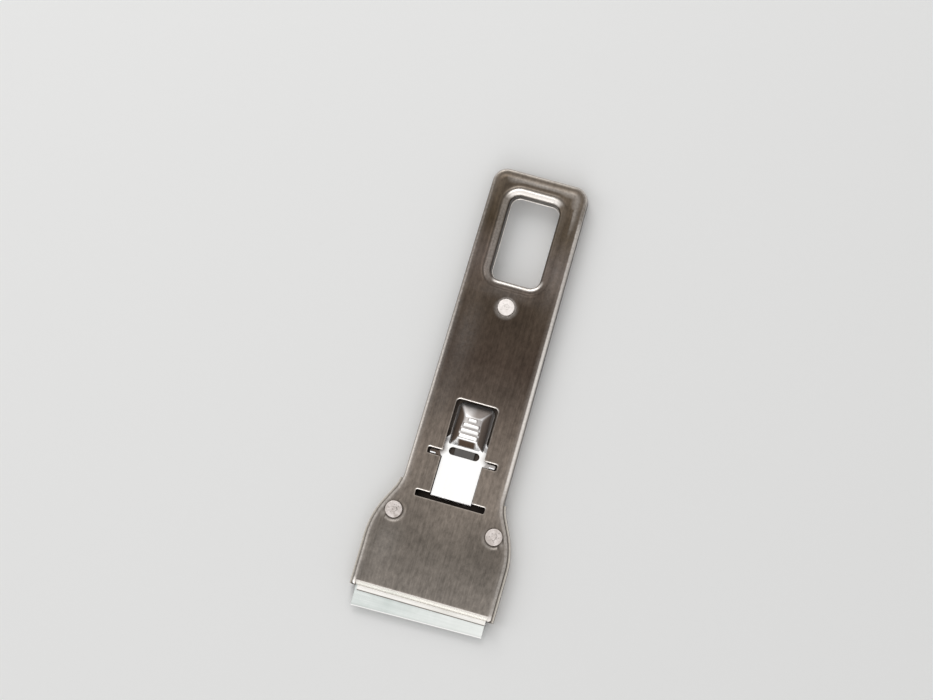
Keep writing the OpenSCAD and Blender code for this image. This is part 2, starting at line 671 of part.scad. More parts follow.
// Solid of the pressed pad down to base_z, shrunk by t: its side view crossed with its end view
module pad_solid(base_z, t) {
    crown_z = slide_top_z + pad_rise;
    deep = slide_top_z - base_z;
    low_run = 1.7;
    high_run = pad_high_y - pad_flank_y;
    high_rise = pad_rise - 0.35;
    side_run = pad_foot_half_width - pad_crown_half_width;
    intersection() {
        across(slide_half_width) {
            outline([
                [pad_low_y - deep * low_run / pad_rise, base_z, 0],
                [pad_high_y + deep * high_run / high_rise, base_z, 0],
                [pad_flank_y, slide_top_z + high_rise, 1.6],
                [pad_low_y + low_run, crown_z, 1.0]], t);
            if (t == 0) for (k = [0 : ridge_count - 1])
                translate([ridge_low_y + k * ridge_pitch, crown_z - 0.35 - 0.05 * k]) circle(r = ridge_radius);
        }
        rotate([90, 0, 0]) translate([0, 0, -slide_end_y - past]) linear_extrude(slide_end_y) outline([
            [-pad_foot_half_width - deep * side_run / pad_rise, base_z, 0],
            [pad_foot_half_width + deep * side_run / pad_rise, base_z, 0],
            [pad_crown_half_width, crown_z + 0.2, 1.2],
            [-pad_crown_half_width, crown_z + 0.2, 1.2]], t);
    }
}

module long_hole_plan() {
    r = long_hole_width / 2;
    for (s = [-1, 1]) translate([s * (long_hole_length / 2 - r), long_hole_y]) circle(r = r);
    translate([r - long_hole_length / 2, long_hole_y - r]) square([long_hole_length - 2 * r, long_hole_width]);
}

// Thumb slide as it is stamped: pad, plate, two upturned hooks and an end turned down into two hinge tabs
module flat_thumb_slide() {
    wall_low_z = clamp_z + 0.3;
    difference() {
        union() {
            translate([0, 0, slide_z]) linear_extrude(slide_thickness) slide_plan();
            pad_solid(slide_z, 0);
        }
        pad_solid(slide_z - slide_thickness - past, slide_thickness);
        translate([0, 0, slide_z - past]) linear_extrude(slide_thickness + 2 * past) long_hole_plan();
    }
    across(slide_half_width) outline(strip([
        [slide_low_y + slide_thickness, wall_low_z, 0],
        [slide_low_y + slide_thickness, slide_z, -0.2],
        [slide_low_y + 2.5 * slide_thickness, slide_z, 0]], slide_thickness));
    for (s = [-1, 1]) {
        translate([s > 0 ? hook_reach - hook_length : -hook_reach, hook_y - slide_thickness / 2, slide_z])
            cube([hook_length, slide_thickness, hook_top_z - slide_z]);
        translate([s * tab_x - tab_width / 2, pivot_y, pivot_z]) {
            rotate([0, 90, 0]) cylinder(d = slide_thickness, h = tab_width);
            translate([0, -slide_thickness / 2, 0]) cube([tab_width, slide_thickness, wall_low_z - pivot_z]);
        }
    }
}

// Thumb slide, pressed down about its hinge tabs
module thumb_slide() {
    color(bright) translate([0, pivot_y, pivot_z]) rotate([-press_angle, 0, 0])
        translate([0, -pivot_y, -pivot_z]) flat_thumb_slide();
}

// Replaceable blade, ground from both faces to its cutting edge
module blade() {
    middle_y = blade_back_y - blade_depth / 2;
    half = blade_depth / 2;
    low_z = blade_z + blade_play / 2;
    color(blade_grey) translate([-blade_offset, middle_y, low_z]) rotate(blade_skew)
        across(blade_width / 2) polygon([
            [-half, blade_thickness / 2],
            [blade_bevel - half, 0],
            [half, 0],
            [half, blade_thickness],
            [blade_bevel - half, blade_thickness]]);
}

// Centres the scraper along Y
module placed() {
    translate([0, -origin_y, 0]) children();
}

placed() front_cover();
placed() back_cover();
placed() handle_rivet();
placed() left_shoulder_rivet();
placed() right_shoulder_rivet();
placed() handle_spacer();
placed() left_shoulder_spacer();
placed() right_shoulder_spacer();
placed() blade_carrier();
placed() blade_clamp();
placed() left_clamp_rivet();
placed() right_clamp_rivet();
placed() return_spring();
placed() spring_rivet();
placed() thumb_slide();
placed() blade();
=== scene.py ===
import math

import bpy
import numpy as np
from mathutils import Matrix, geometry


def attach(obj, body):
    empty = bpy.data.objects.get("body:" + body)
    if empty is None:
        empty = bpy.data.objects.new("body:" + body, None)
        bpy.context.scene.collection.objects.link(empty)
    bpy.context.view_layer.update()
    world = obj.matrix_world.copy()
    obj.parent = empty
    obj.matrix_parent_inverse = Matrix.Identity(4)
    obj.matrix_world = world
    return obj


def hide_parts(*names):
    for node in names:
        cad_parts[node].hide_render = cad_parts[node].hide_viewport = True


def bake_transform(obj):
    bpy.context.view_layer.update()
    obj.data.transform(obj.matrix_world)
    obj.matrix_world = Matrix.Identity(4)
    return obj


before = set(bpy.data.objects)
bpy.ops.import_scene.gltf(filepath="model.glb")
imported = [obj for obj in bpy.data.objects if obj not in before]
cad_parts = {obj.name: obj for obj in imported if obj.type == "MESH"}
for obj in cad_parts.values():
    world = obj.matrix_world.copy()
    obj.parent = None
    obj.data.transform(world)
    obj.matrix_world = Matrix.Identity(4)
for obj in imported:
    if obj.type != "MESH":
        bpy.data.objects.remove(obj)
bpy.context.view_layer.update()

# ------------------------------------------------------------ sizes, in millimetres, as in the part
# Y runs from the mouth, where the blade comes out; the pieces are centred along Y when they are made.
LENGTH, THICK, SHEET, EDGE_R = 131.8, 5.0, 0.6, 1.0
HEAD_W, ROOT_W, END_W = 42.8, 30.9, 29.1
SHOULDER_TOP, SHOULDER_LOW = 33.0, 21.1
# Below SWAP_Y the back cover's edge stands outside the front cover's rim, and above it inside
NEST_GAP = 0.1
NEST = SHEET + NEST_GAP
SWAP_Y = SHOULDER_TOP + 1.5
HEAD_RIM_LOW = NEST + 0.18
BODY = [
    (HEAD_W / 2, 0, 0), (HEAD_W / 2, SHOULDER_LOW, 25), (ROOT_W / 2, SHOULDER_TOP, -12),
    (END_W / 2, LENGTH, 4.4), (-END_W / 2, LENGTH, 4.4), (-ROOT_W / 2, SHOULDER_TOP, -12),
    (-HEAD_W / 2, SHOULDER_LOW, 25), (-HEAD_W / 2, 0, 0)]

# Hanging hole and the bead rolled round it
HOLE_HALF, HOLE_LOW, HOLE_HIGH, HOLE_R = 7.6, 98.6, 124.5, 3.0
HOLE = [(-HOLE_HALF, HOLE_LOW, HOLE_R), (HOLE_HALF, HOLE_LOW, HOLE_R),
        (HOLE_HALF, HOLE_HIGH, HOLE_R), (-HOLE_HALF, HOLE_HIGH, HOLE_R)]
BEAD_R, BEAD_Z, FOOT_R, BEAD_REACH = 1.35, 4.65, 1.3, 3.75

# Rivets, and how deep the front and the back cover are pressed in round them
RIVETS = {"handle_rivet": (0.0, 91.2), "left_shoulder_rivet": (-15.45, 24.4),
          "right_shoulder_rivet": (15.45, 24.4)}
FRONT_SEAT, BACK_SEAT = 0.35, 0.55
RIVET_HEAD_R = 2.55

# Window with two pairs of notches, each NOTCH_H high
WINDOW_HALF, WINDOW_LOW, WINDOW_HIGH = 6.4, 30.1, 61.3
NOTCH_REACH, NOTCH_H, NOTCH_HIGH = 10.7, 1.95, 43.3

# Lip at the mouth: bent down by LIP_ANGLE on a radius of 1, ending at (Y, Z)
LIP_START, LIP_ANGLE, LIP_END = 1.994, 60.0, (0.1, 2.72)

# Thumb slide: its plate, the pad on it, its hooks, and the tabs that it rocks on
SLIDE_TOP, SLIDE_T, SLIDE_HALF, SLIDE_LOW, SLIDE_BEND = 4.34, 0.5, 6.18, 31.2, 0.7
PAD_LOW, PAD_HIGH, PAD_HALF, PAD_RISE = 47.6, 60.6, 5.1, 3.4
RIDGES = [(50.4, 2.8), (52.1, 2.75), (53.8, 2.4), (55.5, 1.3)]
RIDGE_H = 0.38
HOOK_Y, HOOK_REACH = 43.43, 10.0
PIVOT_Y, PIVOT_Z, PRESS = 31.45, 1.27, math.radians(2.907)

# Carrier's upper side, and the front edge of the clamp
CARRIER_TOP, CLAMP_FRONT = 1.57, -1.4

# Blade: the part's own, from which the middle along Y follows, and how this one lies
BLADE_W, BLADE_D, BLADE_BACK, BLADE_SKEW = 40.0, 22.0, 16.2, math.radians(0.5)
BLADE_LOW = (BLADE_BACK - BLADE_D / 2 * (1 + math.cos(BLADE_SKEW))
             - BLADE_W / 2 * math.sin(BLADE_SKEW))
BLADE_T, BLADE_BEVEL, BLADE_MID = 0.25, 0.7, 1.435
RAZOR_X, RAZOR_Y, RAZOR_SKEW = -0.45, 5.2, math.radians(1.3)
ORIGIN_Y = (LENGTH + BLADE_LOW) / 2


# ------------------------------------------------------------ outlines and sheets
def ease(t):
    """3t^2 - 2t^3 of t held between 0 and 1: a rise that starts and ends level."""
    t = np.clip(t, 0, 1)
    return t * t * (3 - 2 * t)


def trace(corners, step=1.0, turn=6.0, closed=True):
    """Points along an outline and the unit normals to its left. Corner i is (x, y, radius), with hollow
    turns negative: its arc is centre - radius * n while n turns from one edge's normal to the next
    one's. A radius of 0 keeps the corner sharp, and its normal is the longer one of the mitre."""
    c = np.array(corners, float)
    e = np.roll(c[:, :2], -1, 0) - c[:, :2]
    e /= np.linalg.norm(e, axis=1)[:, None]
    m = np.stack([-e[:, 1], e[:, 0]], 1)
    runs, last = [], len(c) - 1
    for i in range(len(c)):
        a = m[i] if i == 0 and not closed else m[i - 1]
        b = m[i - 1] if i == last and not closed else m[i]
        mitre = (a + b) / (1 + a @ b)
        swing = math.atan2(a[0] * b[1] - a[1] * b[0], a @ b)
        if c[i, 2] == 0:
            runs.append((c[i, None, :2], mitre[None]))
            continue
        t = swing * np.linspace(0, 1, max(2, math.ceil(abs(math.degrees(swing)) / turn) + 1))
        cos, sin = np.cos(t), np.sin(t)
        n = np.stack([a[0] * cos - a[1] * sin, a[0] * sin + a[1] * cos], 1)
        runs.append((c[i, :2] + c[i, 2] * (mitre - n), n))
    points, normals = [], []
    for i, (p, n) in enumerate(runs):
        points.append(p)
        normals.append(n)
        if i == last and not closed:
            break
        start, end = p[-1], runs[(i + 1) % len(runs)][0][0]
        k = math.ceil(np.linalg.norm(end - start) / step)
        t = np.arange(1, k)[:, None] / max(k, 1)
        points.append(start + (end - start) * t)
        normals.append(np.repeat(m[i][None], len(t), 0))
    return np.concatenate(points), np.concatenate(normals)


def bow(cd, cz, r, start, end, n, inner=False):
    """Rows [distance inward, height, normal inward, normal up] on an arc from angle start to end, with
    the sheet's outer side on the arc's outside, or on its inside where the turn is hollow."""
    a = np.radians(np.linspace(start, end, n))
    side = -1 if inner else 1
    return np.stack([cd + r * np.cos(a), cz + r * np.sin(a), side * np.cos(a), side * np.sin(a)], 1)


def inside(p, loop):
    """Which points p lie in the loop, by counting the edges that a ray along +X crosses."""
    a, b = loop, np.roll(loop, -1, 0)
    x, y = p[:, 0, None], p[:, 1, None]
    spans = (a[:, 1] > y) != (b[:, 1] > y)
    slope = (b[:, 0] - a[:, 0]) / np.where(b[:, 1] == a[:, 1], 1, b[:, 1] - a[:, 1])
    return (spans & (x < a[:, 0] + (y - a[:, 1]) * slope)).sum(1) % 2 == 1


def net(x, y, z):
    """Rows x columns of points. Each of X, Y and Z is one value, one per row, one per column or all."""
    return np.dstack(np.broadcast_arrays(x, y, z))


# Points less than about WELD apart are one point. WELD_SHIFT keeps round sizes off the steps' edges.
WELD, WELD_SHIFT = 0.002, 0.00031
# A sheet's inner side is marked less than its outer side
INNER_MARKS = 0.3


class Sheet:
    """A stamped sheet: the points of its outer side, those of its inner side, its faces and two marks,
    one for wear and painted highlight where it is lighter, and one for dark film and painted shade."""

    def __init__(self):
        self.outer, self.inner, self.polish, self.soil, self.faces = [], [], [], [], []
        self.count = 0

    def take(self, outer, inner, faces, polish=0.0, soil=0.0):
        """Adds points and faces to the sheet."""
        n = len(outer)
        self.outer.append(outer)
        self.inner.append(inner)
        self.polish.append(np.broadcast_to(polish, n))
        self.soil.append(np.broadcast_to(soil, n))
        self.faces.append(np.asarray(faces) + self.count)
        self.count += n

    def grid(self, outer, inner, polish=0.0, soil=0.0, closed=False):
        """Takes rows x columns of points, joined round its columns if closed."""
        rows, cols = outer.shape[:2]
        k = np.arange(rows * cols).reshape(rows, cols)
        if closed:
            k = np.concatenate([k, k[:, :1]], 1)
        faces = np.stack([k[:-1, :-1], k[:-1, 1:], k[1:, 1:], k[1:, :-1]], -1).reshape(-1, 4)
        marks = [np.broadcast_to(mark, (rows, cols)).reshape(-1) for mark in (polish, soil)]
        self.take(outer.reshape(-1, 3), inner.reshape(-1, 3), faces, *marks)

    def strip(self, points, normals, rows, polish=0.0, soil=0.0, closed=True):
        """Takes a profile carried along an outline: row k lies rows[k] from it, its inner side SHEET
        below."""
        rows = np.asarray(rows, float)
        sides = []
        for away in (rows[:, :2], rows[:, :2] - SHEET * rows[:, 2:]):
            flat = points + away[:, :1, None] * normals
            sides.append(net(flat[..., 0], flat[..., 1], away[:, 1:]))
        self.grid(*sides, polish, soil, closed)
        return sides[0]

    def floor(self, loops, z, t=SHEET, more=None):
        """The flat sheet between the first loop and the others, cut into triangles."""
        points = np.concatenate(loops if more is None else loops + [more])
        edges, k = [], 0
        for loop in loops:
            i = np.arange(len(loop))
            edges.append(np.stack([i, (i + 1) % len(loop)], 1) + k)
            k += len(loop)
        cut = geometry.delaunay_2d_cdt(points.tolist(), np.concatenate(edges).tolist(), [], 0, 1e-6)
        p = np.array([tuple(v) for v in cut[0]])
        tri = np.array(cut[2])
        middle = p[tri].mean(1)
        keep = inside(middle, loops[0])
        for loop in loops[1:]:
            keep &= ~inside(middle, loop)
        v = np.column_stack([p, np.full(len(p), z)])
        self.take(v, v - (0, 0, t), tri[keep])

    def welded(self):
        """Points, marks and faces of the closed sheet: outer side, inner side and the cut edges."""
        outer, inner = np.concatenate(self.outer), np.concatenate(self.inner)
        marks = np.stack([np.concatenate(self.polish), np.concatenate(self.soil)], 1)
        key = np.round((outer + WELD_SHIFT) / WELD).astype(np.int64)
        _, first, same = np.unique(key, axis=0, return_index=True, return_inverse=True)
        same = same.reshape(-1)
        quads = [same[f] for f in self.faces if f.shape[1] == 4]
        tris = [same[f] for f in self.faces if f.shape[1] == 3]
        q = np.concatenate(quads) if quads else np.zeros((0, 4), int)
        t = np.concatenate(tris) if tris else np.zeros((0, 3), int)
        for k in range(4):
            flat = q[:, k] == q[:, (k + 1) % 4]
            t = np.concatenate([t, np.delete(q[flat], k, 1)])
            q = q[~flat]
        t = t[(t[:, 0] != t[:, 1]) & (t[:, 1] != t[:, 2]) & (t[:, 2] != t[:, 0])]
        outer, inner, marks = outer[first], inner[first], marks[first]
        n = len(outer)
        ways = np.concatenate([np.stack([f, np.roll(f, -1, 1)], 2).reshape(-1, 2) for f in (q, t)])
        met = np.isin(ways[:, 0] * n + ways[:, 1], ways[:, 1] * n + ways[:, 0])
        rim = ways[~met]
        walls = np.stack([rim[:, 1], rim[:, 0], rim[:, 0] + n, rim[:, 1] + n], 1)
        faces = [q, t, q[:, ::-1] + n, t[:, ::-1] + n, walls]
        return np.concatenate([outer, inner]), np.concatenate([marks, marks * INNER_MARKS]), faces


def closed_grid(points, polish=0.0, soil=0.0):
    """Points, marks and faces of a solid made of rows of points that are joined round."""
    s = Sheet()
    s.grid(points, points, polish, soil, closed=True)
    v, marks, faces = s.welded()
    n = len(v) // 2
    return v[:n], marks[:n], faces[:2]


def make(name, body, slot, material, v, marks, faces, stands_for, crease=35):
    """A piece from points in millimetres. Edges that turn more than crease degrees stay sharp."""
    mesh = bpy.data.meshes.new(name)
    rows = [r for f in faces for r in np.asarray(f).tolist()]
    mesh.from_pydata(((v - (0, ORIGIN_Y, 0)) / 1000).tolist(), [], rows)
    for k, mark in enumerate(("polish", "soil")):
        values = mesh.attributes.new(mark, "FLOAT", "POINT").data
        values.foreach_set("value", marks[:, k].astype(np.float32))
    mesh.shade_smooth()
    mesh.set_sharp_from_angle(angle=math.radians(crease))
    mesh.materials.append(material)
    piece = bpy.data.objects.new(name, mesh)
    bpy.context.scene.collection.objects.link(piece)
    if body:
        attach(piece, body)
    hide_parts(stands_for)
    return piece


# ------------------------------------------------------------ materials
def tint(code, alpha=1.0):
    """Linear colour from an sRGB hex value such as 8A7D72."""
    c = np.array([int(code[k:k + 2], 16) / 255 for k in (0, 2, 4)])
    linear = np.where(c <= 0.04045, c / 12.92, ((c + 0.055) / 1.055) ** 2.4)
    return (*linear, alpha)


# A colour mix takes its share and its two colours at inputs 0, 6 and 7, and gives output 2
NOISE, MAPPING = "ShaderNodeTexNoise", "ShaderNodeMapping"
RANGE, MATH, MIX = "ShaderNodeMapRange", "ShaderNodeMath", "ShaderNodeMix"
BUMP, SPLIT, MARK = "ShaderNodeBump", "ShaderNodeSeparateXYZ", "ShaderNodeAttribute"


def add(tree, kind, sockets=None, stops=None, **settings):
    """Adds a node. sockets gives its inputs by name or number a value, a hex colour or the output that
    feeds them, stops are a ramp's (place, hex colour) pairs, and settings are its own switches."""
    node = tree.nodes.new(kind)
    for key, value in settings.items():
        setattr(node, key, value)
    for key, value in (sockets or {}).items():
        if isinstance(value, bpy.types.NodeSocket):
            tree.links.new(value, node.inputs[key])
        else:
            node.inputs[key].default_value = tint(value) if isinstance(value, str) else value
    if stops:
        ramp = node.color_ramp.elements
        while len(ramp) < len(stops):
            ramp.new(0.5)
        for spot, (place, code) in zip(ramp, stops):
            spot.position, spot.color = place, tint(code)
    return node


def fresh(name):
    """A new material's node tree with its shader, which is linked to the output."""
    material = bpy.data.materials.new(name)
    material.use_nodes = True
    tree = material.node_tree
    tree.nodes.clear()
    shader = add(tree, "ShaderNodeBsdfPrincipled")
    add(tree, "ShaderNodeOutputMaterial", {"Surface": shader.outputs[0]})
    return material, tree, shader


# Object Y, in metres, of a cover's first and last tone
TONES_FROM, TONES_TO = -0.063, 0.069


def rolled_sheet(name, lengthways, bright, rough, depth):
    """Cold-rolled steel sheet, brushed lengthways and lightly nickel plated: a brown-grey mirror with
    soft streaks and cloudy film, bends and edges brightened by wear and painted highlight, and places
    darkened by dark film and painted shade. lengthways are the tones from blade to hanging hole, and
    depth is that of the brush marks in metres."""
    material, tree, shader = fresh(name)
    place = add(tree, "ShaderNodeTexCoord").outputs["Object"]
    along = add(tree, SPLIT, {0: place}).outputs["Y"]
    span = add(tree, RANGE, {"Value": along, "From Min": TONES_FROM, "From Max": TONES_TO})
    tone = add(tree, "ShaderNodeValToRGB", {0: span.outputs[0]}, stops=lengthways)
    # Brush marks 0.5 to 0.7 mm apart and about 35 mm long, coarser than the real grit so that they show
    brushed = add(tree, MAPPING, {"Vector": place, "Scale": (1700, 30, 450)})
    streak = add(tree, NOISE, {"Vector": brushed.outputs[0], "Scale": 1.0, "Detail": 4.0,
                               "Roughness": 0.62})
    hair = add(tree, MAPPING, {"Vector": place, "Scale": (5200, 260, 2200)})
    scratch = add(tree, NOISE, {"Vector": hair.outputs[0], "Scale": 1.0, "Detail": 2.0})
    # Film: clouds 12 mm across, and mottling 1 mm wide and 2 mm long
    cloud = add(tree, NOISE, {"Vector": place, "Scale": 85.0, "Detail": 3.0})
    drawn = add(tree, MAPPING, {"Vector": place, "Scale": (900, 430, 600)})
    mottle = add(tree, NOISE, {"Vector": drawn.outputs[0], "Scale": 1.0, "Detail": 5.0,
                               "Roughness": 0.72})
    # Each pattern lightens and darkens the tone between its two limits
    film_and_shade = tone.outputs[0]
    for pattern, darkest, lightest in ((streak, 0.84, 1.14), (cloud, 0.82, 1.18), (mottle, 0.72, 1.3)):
        shade = add(tree, RANGE, {"Value": pattern.outputs[0], "From Min": 0.3, "From Max": 0.7,
                                  "To Min": darkest, "To Max": lightest})
        film_and_shade = add(tree, "ShaderNodeVectorMath", {0: film_and_shade, "Scale": shade.outputs[0]},
                   operation="SCALE").outputs[0]
    # Specks 0.7 mm across break up the wear and painted highlight, less so where it is faint
    polish = add(tree, MARK, attribute_name="polish").outputs["Fac"]
    soil = add(tree, MARK, attribute_name="soil").outputs["Fac"]
    speck = add(tree, NOISE, {"Vector": place, "Scale": 1500.0, "Detail": 4.0, "Roughness": 0.7})
    bite = add(tree, RANGE, {"Value": speck.outputs[0], "From Min": 0.36, "From Max": 0.64,
                             "To Min": 0.0, "To Max": -0.16})
    firm = add(tree, RANGE, {"Value": polish, "From Min": 0.0, "From Max": 0.3})
    spots = add(tree, MATH, {0: bite.outputs[0], 1: firm.outputs[0]}, operation="MULTIPLY")
    wear_and_highlight_share = add(tree, MATH, {0: polish, 1: 1.07, 2: spots.outputs[0]}, operation="MULTIPLY_ADD",
                 use_clamp=True).outputs[0]
    # Wear and painted highlight lighten the tone towards bright, and dark film and painted shade darken
    # it towards 1E1A17
    colour = add(tree, MIX, {0: wear_and_highlight_share, 6: film_and_shade, 7: bright}, data_type="RGBA")
    colour = add(tree, MIX, {0: soil, 6: colour.outputs[2], 7: "1E1A17"}, data_type="RGBA")
    # Streaks vary the gloss, and places that are worn and painted bright are glossier
    dull = add(tree, RANGE, {"Value": streak.outputs[0], "From Min": 0.25, "From Max": 0.75,
                             "To Min": rough - 0.07, "To Max": rough + 0.1})
    sheen = add(tree, RANGE, {"Value": wear_and_highlight_share, "To Min": 0.0, "To Max": -0.08})
    gloss = add(tree, MATH, {0: dull.outputs[0], 1: sheen.outputs[0]}, operation="ADD")
    # Rolling waves 9 mm across, brush marks and scratches, smoothed where the sheet is worn and painted
    # bright
    wave = add(tree, NOISE, {"Vector": place, "Scale": 110.0, "Detail": 1.0})
    calm = add(tree, RANGE, {"Value": wear_and_highlight_share, "To Min": 0.5, "To Max": 0.05}).outputs[0]
    low = add(tree, BUMP, {"Height": wave.outputs[0], "Strength": 0.5, "Distance": depth * 6})
    mid = add(tree, BUMP, {"Height": streak.outputs[0], "Strength": calm, "Distance": depth,
                           "Normal": low.outputs[0]})
    fine = add(tree, BUMP, {"Height": scratch.outputs[0], "Strength": calm, "Distance": depth / 2,
                            "Normal": mid.outputs[0]})
    tree.links.new(colour.outputs[2], shader.inputs["Base Color"])
    tree.links.new(gloss.outputs[0], shader.inputs["Roughness"])
    tree.links.new(fine.outputs[0], shader.inputs["Normal"])
    shader.inputs["Metallic"].default_value = 1.0
    shader.inputs["Anisotropic"].default_value = 0.35
    return material


def plated_steel(name, pale, dark, cloudiness, rough, grain, edge=0.0, film_and_shade="3A322C", bands=()):
    """Plated, ground or dark steel: soft clouds between two tones, fine grain of the given spacing
    along X and Y in millimetres, and dark film with painted shade in hollows and on flanks. edge is how
    dark its cut edges and other upright faces are painted, as shade. Each of the bands is (Y, Y,
    colour):
    the tone goes over to the colour between the two places, in millimetres from the mouth."""
    material, tree, shader = fresh(name)
    place = add(tree, "ShaderNodeTexCoord").outputs["Object"]
    cloud = add(tree, NOISE, {"Vector": place, "Scale": cloudiness, "Detail": 4.0, "Roughness": 0.6})
    ground = add(tree, MAPPING, {"Vector": place, "Scale": (1000 / grain[0], 1000 / grain[1], 1500)})
    hair = add(tree, NOISE, {"Vector": ground.outputs[0], "Scale": 1.0, "Detail": 3.0})
    patch = add(tree, RANGE, {"Value": cloud.outputs[0], "From Min": 0.35, "From Max": 0.7})
    base = add(tree, MIX, {0: patch.outputs[0], 6: pale, 7: dark}, data_type="RGBA")
    shade = add(tree, RANGE, {"Value": hair.outputs[0], "From Min": 0.3, "From Max": 0.7,
                              "To Min": 0.94, "To Max": 1.05})
    base = add(tree, "ShaderNodeVectorMath", {0: base.outputs[2], "Scale": shade.outputs[0]},
               operation="SCALE")
    polish = add(tree, MARK, attribute_name="polish").outputs["Fac"]
    soil = add(tree, MARK, attribute_name="soil").outputs["Fac"]
    # Wear and painted highlight lighten towards FFFDFA, and dark film and painted shade darken towards
    # their own colour
    base = add(tree, MIX, {0: polish, 6: base.outputs[0], 7: "FFFDFA"}, data_type="RGBA")
    base = add(tree, MIX, {0: soil, 6: base.outputs[2], 7: film_and_shade}, data_type="RGBA")
    along = add(tree, SPLIT, {0: place}).outputs["Y"]
    for near, end, code in bands:
        reach = add(tree, RANGE, {"Value": along, "From Min": (near - ORIGIN_Y) / 1000,
                                  "From Max": (end - ORIGIN_Y) / 1000})
        base = add(tree, MIX, {0: reach.outputs[0], 6: base.outputs[2], 7: code}, data_type="RGBA")
    # Painted shade: cut edges and other upright faces are darkened towards 4A423D
    facing = add(tree, SPLIT, {0: add(tree, "ShaderNodeNewGeometry").outputs["Normal"]})
    level = add(tree, MATH, {0: facing.outputs["Z"]}, operation="ABSOLUTE")
    cut = add(tree, RANGE, {"Value": level.outputs[0], "From Min": 0.05, "From Max": 0.3,
                            "To Min": edge, "To Max": 0.0})
    base = add(tree, MIX, {0: cut.outputs[0], 6: base.outputs[2], 7: "4A423D"}, data_type="RGBA")
    # Where dark film and painted shade lie, the surface is duller
    dull = add(tree, RANGE, {"Value": cloud.outputs[0], "From Min": 0.3, "From Max": 0.7,
                             "To Min": rough - 0.06, "To Max": rough + 0.08})
    dulled = add(tree, MATH, {0: soil, 1: 0.32, 2: dull.outputs[0]}, operation="MULTIPLY_ADD")
    fine = add(tree, BUMP, {"Height": hair.outputs[0], "Strength": 0.4, "Distance": 0.00001})
    tree.links.new(base.outputs[2], shader.inputs["Base Color"])
    tree.links.new(dulled.outputs[0], shader.inputs["Roughness"])
    tree.links.new(fine.outputs[0], shader.inputs["Normal"])
    shader.inputs["Metallic"].default_value = 1.0
    return material


BRUSH_DEPTH = 0.000012
# F4EEE8 and DCD6CC are the covers' colours of wear and painted highlight
cover_steel = rolled_sheet("brushed nickel-plated cover sheet", [
    (0.0, "807972"), (0.13, "68615A"), (0.29, "7E746B"), (0.44, "60564E"), (0.56, "433932"),
    (0.7, "463C33"), (0.8, "5A4F48"), (0.88, "4C4134"), (1.0, "5E544A")], "F4EEE8", 0.36, BRUSH_DEPTH)
back_steel = rolled_sheet("brushed back cover sheet", [
    (0.0, "746B64"), (0.5, "5A514A"), (1.0, "5F564C")], "DCD6CC", 0.38, BRUSH_DEPTH)
# The thumb slide's dark marks are painted shade in 615145, and its bright marks are painted highlight
slide_zinc = plated_steel("zinc-plated thumb slide", "FFFFFF", "F3F3F4", 90.0, 0.34, (1.2, 12),
                          film_and_shade="615145")
# Painted shadow: a dark band along the clamp's front edge, and its upright faces painted dark
clamp_zinc = plated_steel("zinc-plated clamp plate", "F8F5F0", "E9E6E0", 120.0, 0.32, (14, 0.5), 0.9,
                          bands=[(CLAMP_FRONT + 0.35, CLAMP_FRONT + 0.12, "6A625C")])
# Painted shade darkens the rivets' upright faces
rivet_alloy = plated_steel("tumbled aluminium rivet", "E6DEDA", "BDB4AE", 700.0, 0.5, (0.6, 0.6), 0.25)
# Near black as painted shade of the cavity behind the slots, and lighter from Y 34 to 38 onwards
carrier_black = plated_steel("near-black carrier plate painted as shade", "2A2522", "1C1816", 100.0, 0.4, (1.0, 14),
                             bands=[(34, 38, "4A433D")])
# Dark as painted shade of the cavity under the hole
spring_steel = plated_steel("dark spring strip painted as shade", "2E2823", "231E1A", 420.0, 0.4, (0.8, 3))
# Painted shade darkens the blade's upright faces
razor_steel = plated_steel("ground razor steel", "E2E7E4", "CBD3CF", 130.0, 0.3, (16, 0.6), 0.5)


# ------------------------------------------------------------ the two covers
def mouth_end(d):
    """How far the round corner beside the mouth, of radius 1, sets back the outline inset by d:
    1 - sqrt(1 - (1 - d)^2)."""
    return 1 - math.sqrt(1 - (1 - d) ** 2) if d < 1 else 0


def dimple(v, depth, level_handle=False):
    """How far each point sinks round the rivets: all of depth within 2.75 mm, easing out by 4.1 mm.
    With level_handle the sheet is level again at once beside the handle rivet's head."""
    sink = np.zeros(len(v))
    for name, (x, y) in RIVETS.items():
        r = np.hypot(v[:, 0] - x, v[:, 1] - y)
        if level_handle and name == "handle_rivet":
            sink = np.maximum(sink, np.where(r < 2.46, depth, 0.04 * ease((3.3 - r) / 0.7)))
        else:
            sink = np.maximum(sink, depth * ease((4.1 - r) / 1.35))
    return sink


def rivet_rings(loop):
    """Points in rings round the rivets, where they lie inside the loop."""
    r, a = np.meshgrid(np.arange(0.3, 4.4, 0.27), np.radians(np.arange(0, 360, 7.5)))
    ring = np.stack([(r * np.cos(a)).ravel(), (r * np.sin(a)).ravel()], 1)
    p = np.concatenate([ring + c for c in RIVETS.values()])
    near = np.min(np.linalg.norm(p[:, None] - loop[None], axis=2), 1)
    return p[inside(p, loop) & (near > 0.2)]


def spread(loop):
    """Points 1.5 mm apart inside the loop and clear of it and of the rivets, to carry the marks."""
    x, y = np.meshgrid(np.arange(-20.25, 20.3, 1.5), np.arange(3, LENGTH, 1.5))
    p = np.stack([x.ravel(), y.ravel()], 1)
    near = np.min(np.linalg.norm(p[:, None] - loop[None], axis=2), 1)
    far = np.min([np.hypot(*(p - c).T) for c in RIVETS.values()], 0)
    return p[inside(p, loop) & (near > 0.5) & (far > 4.7)]


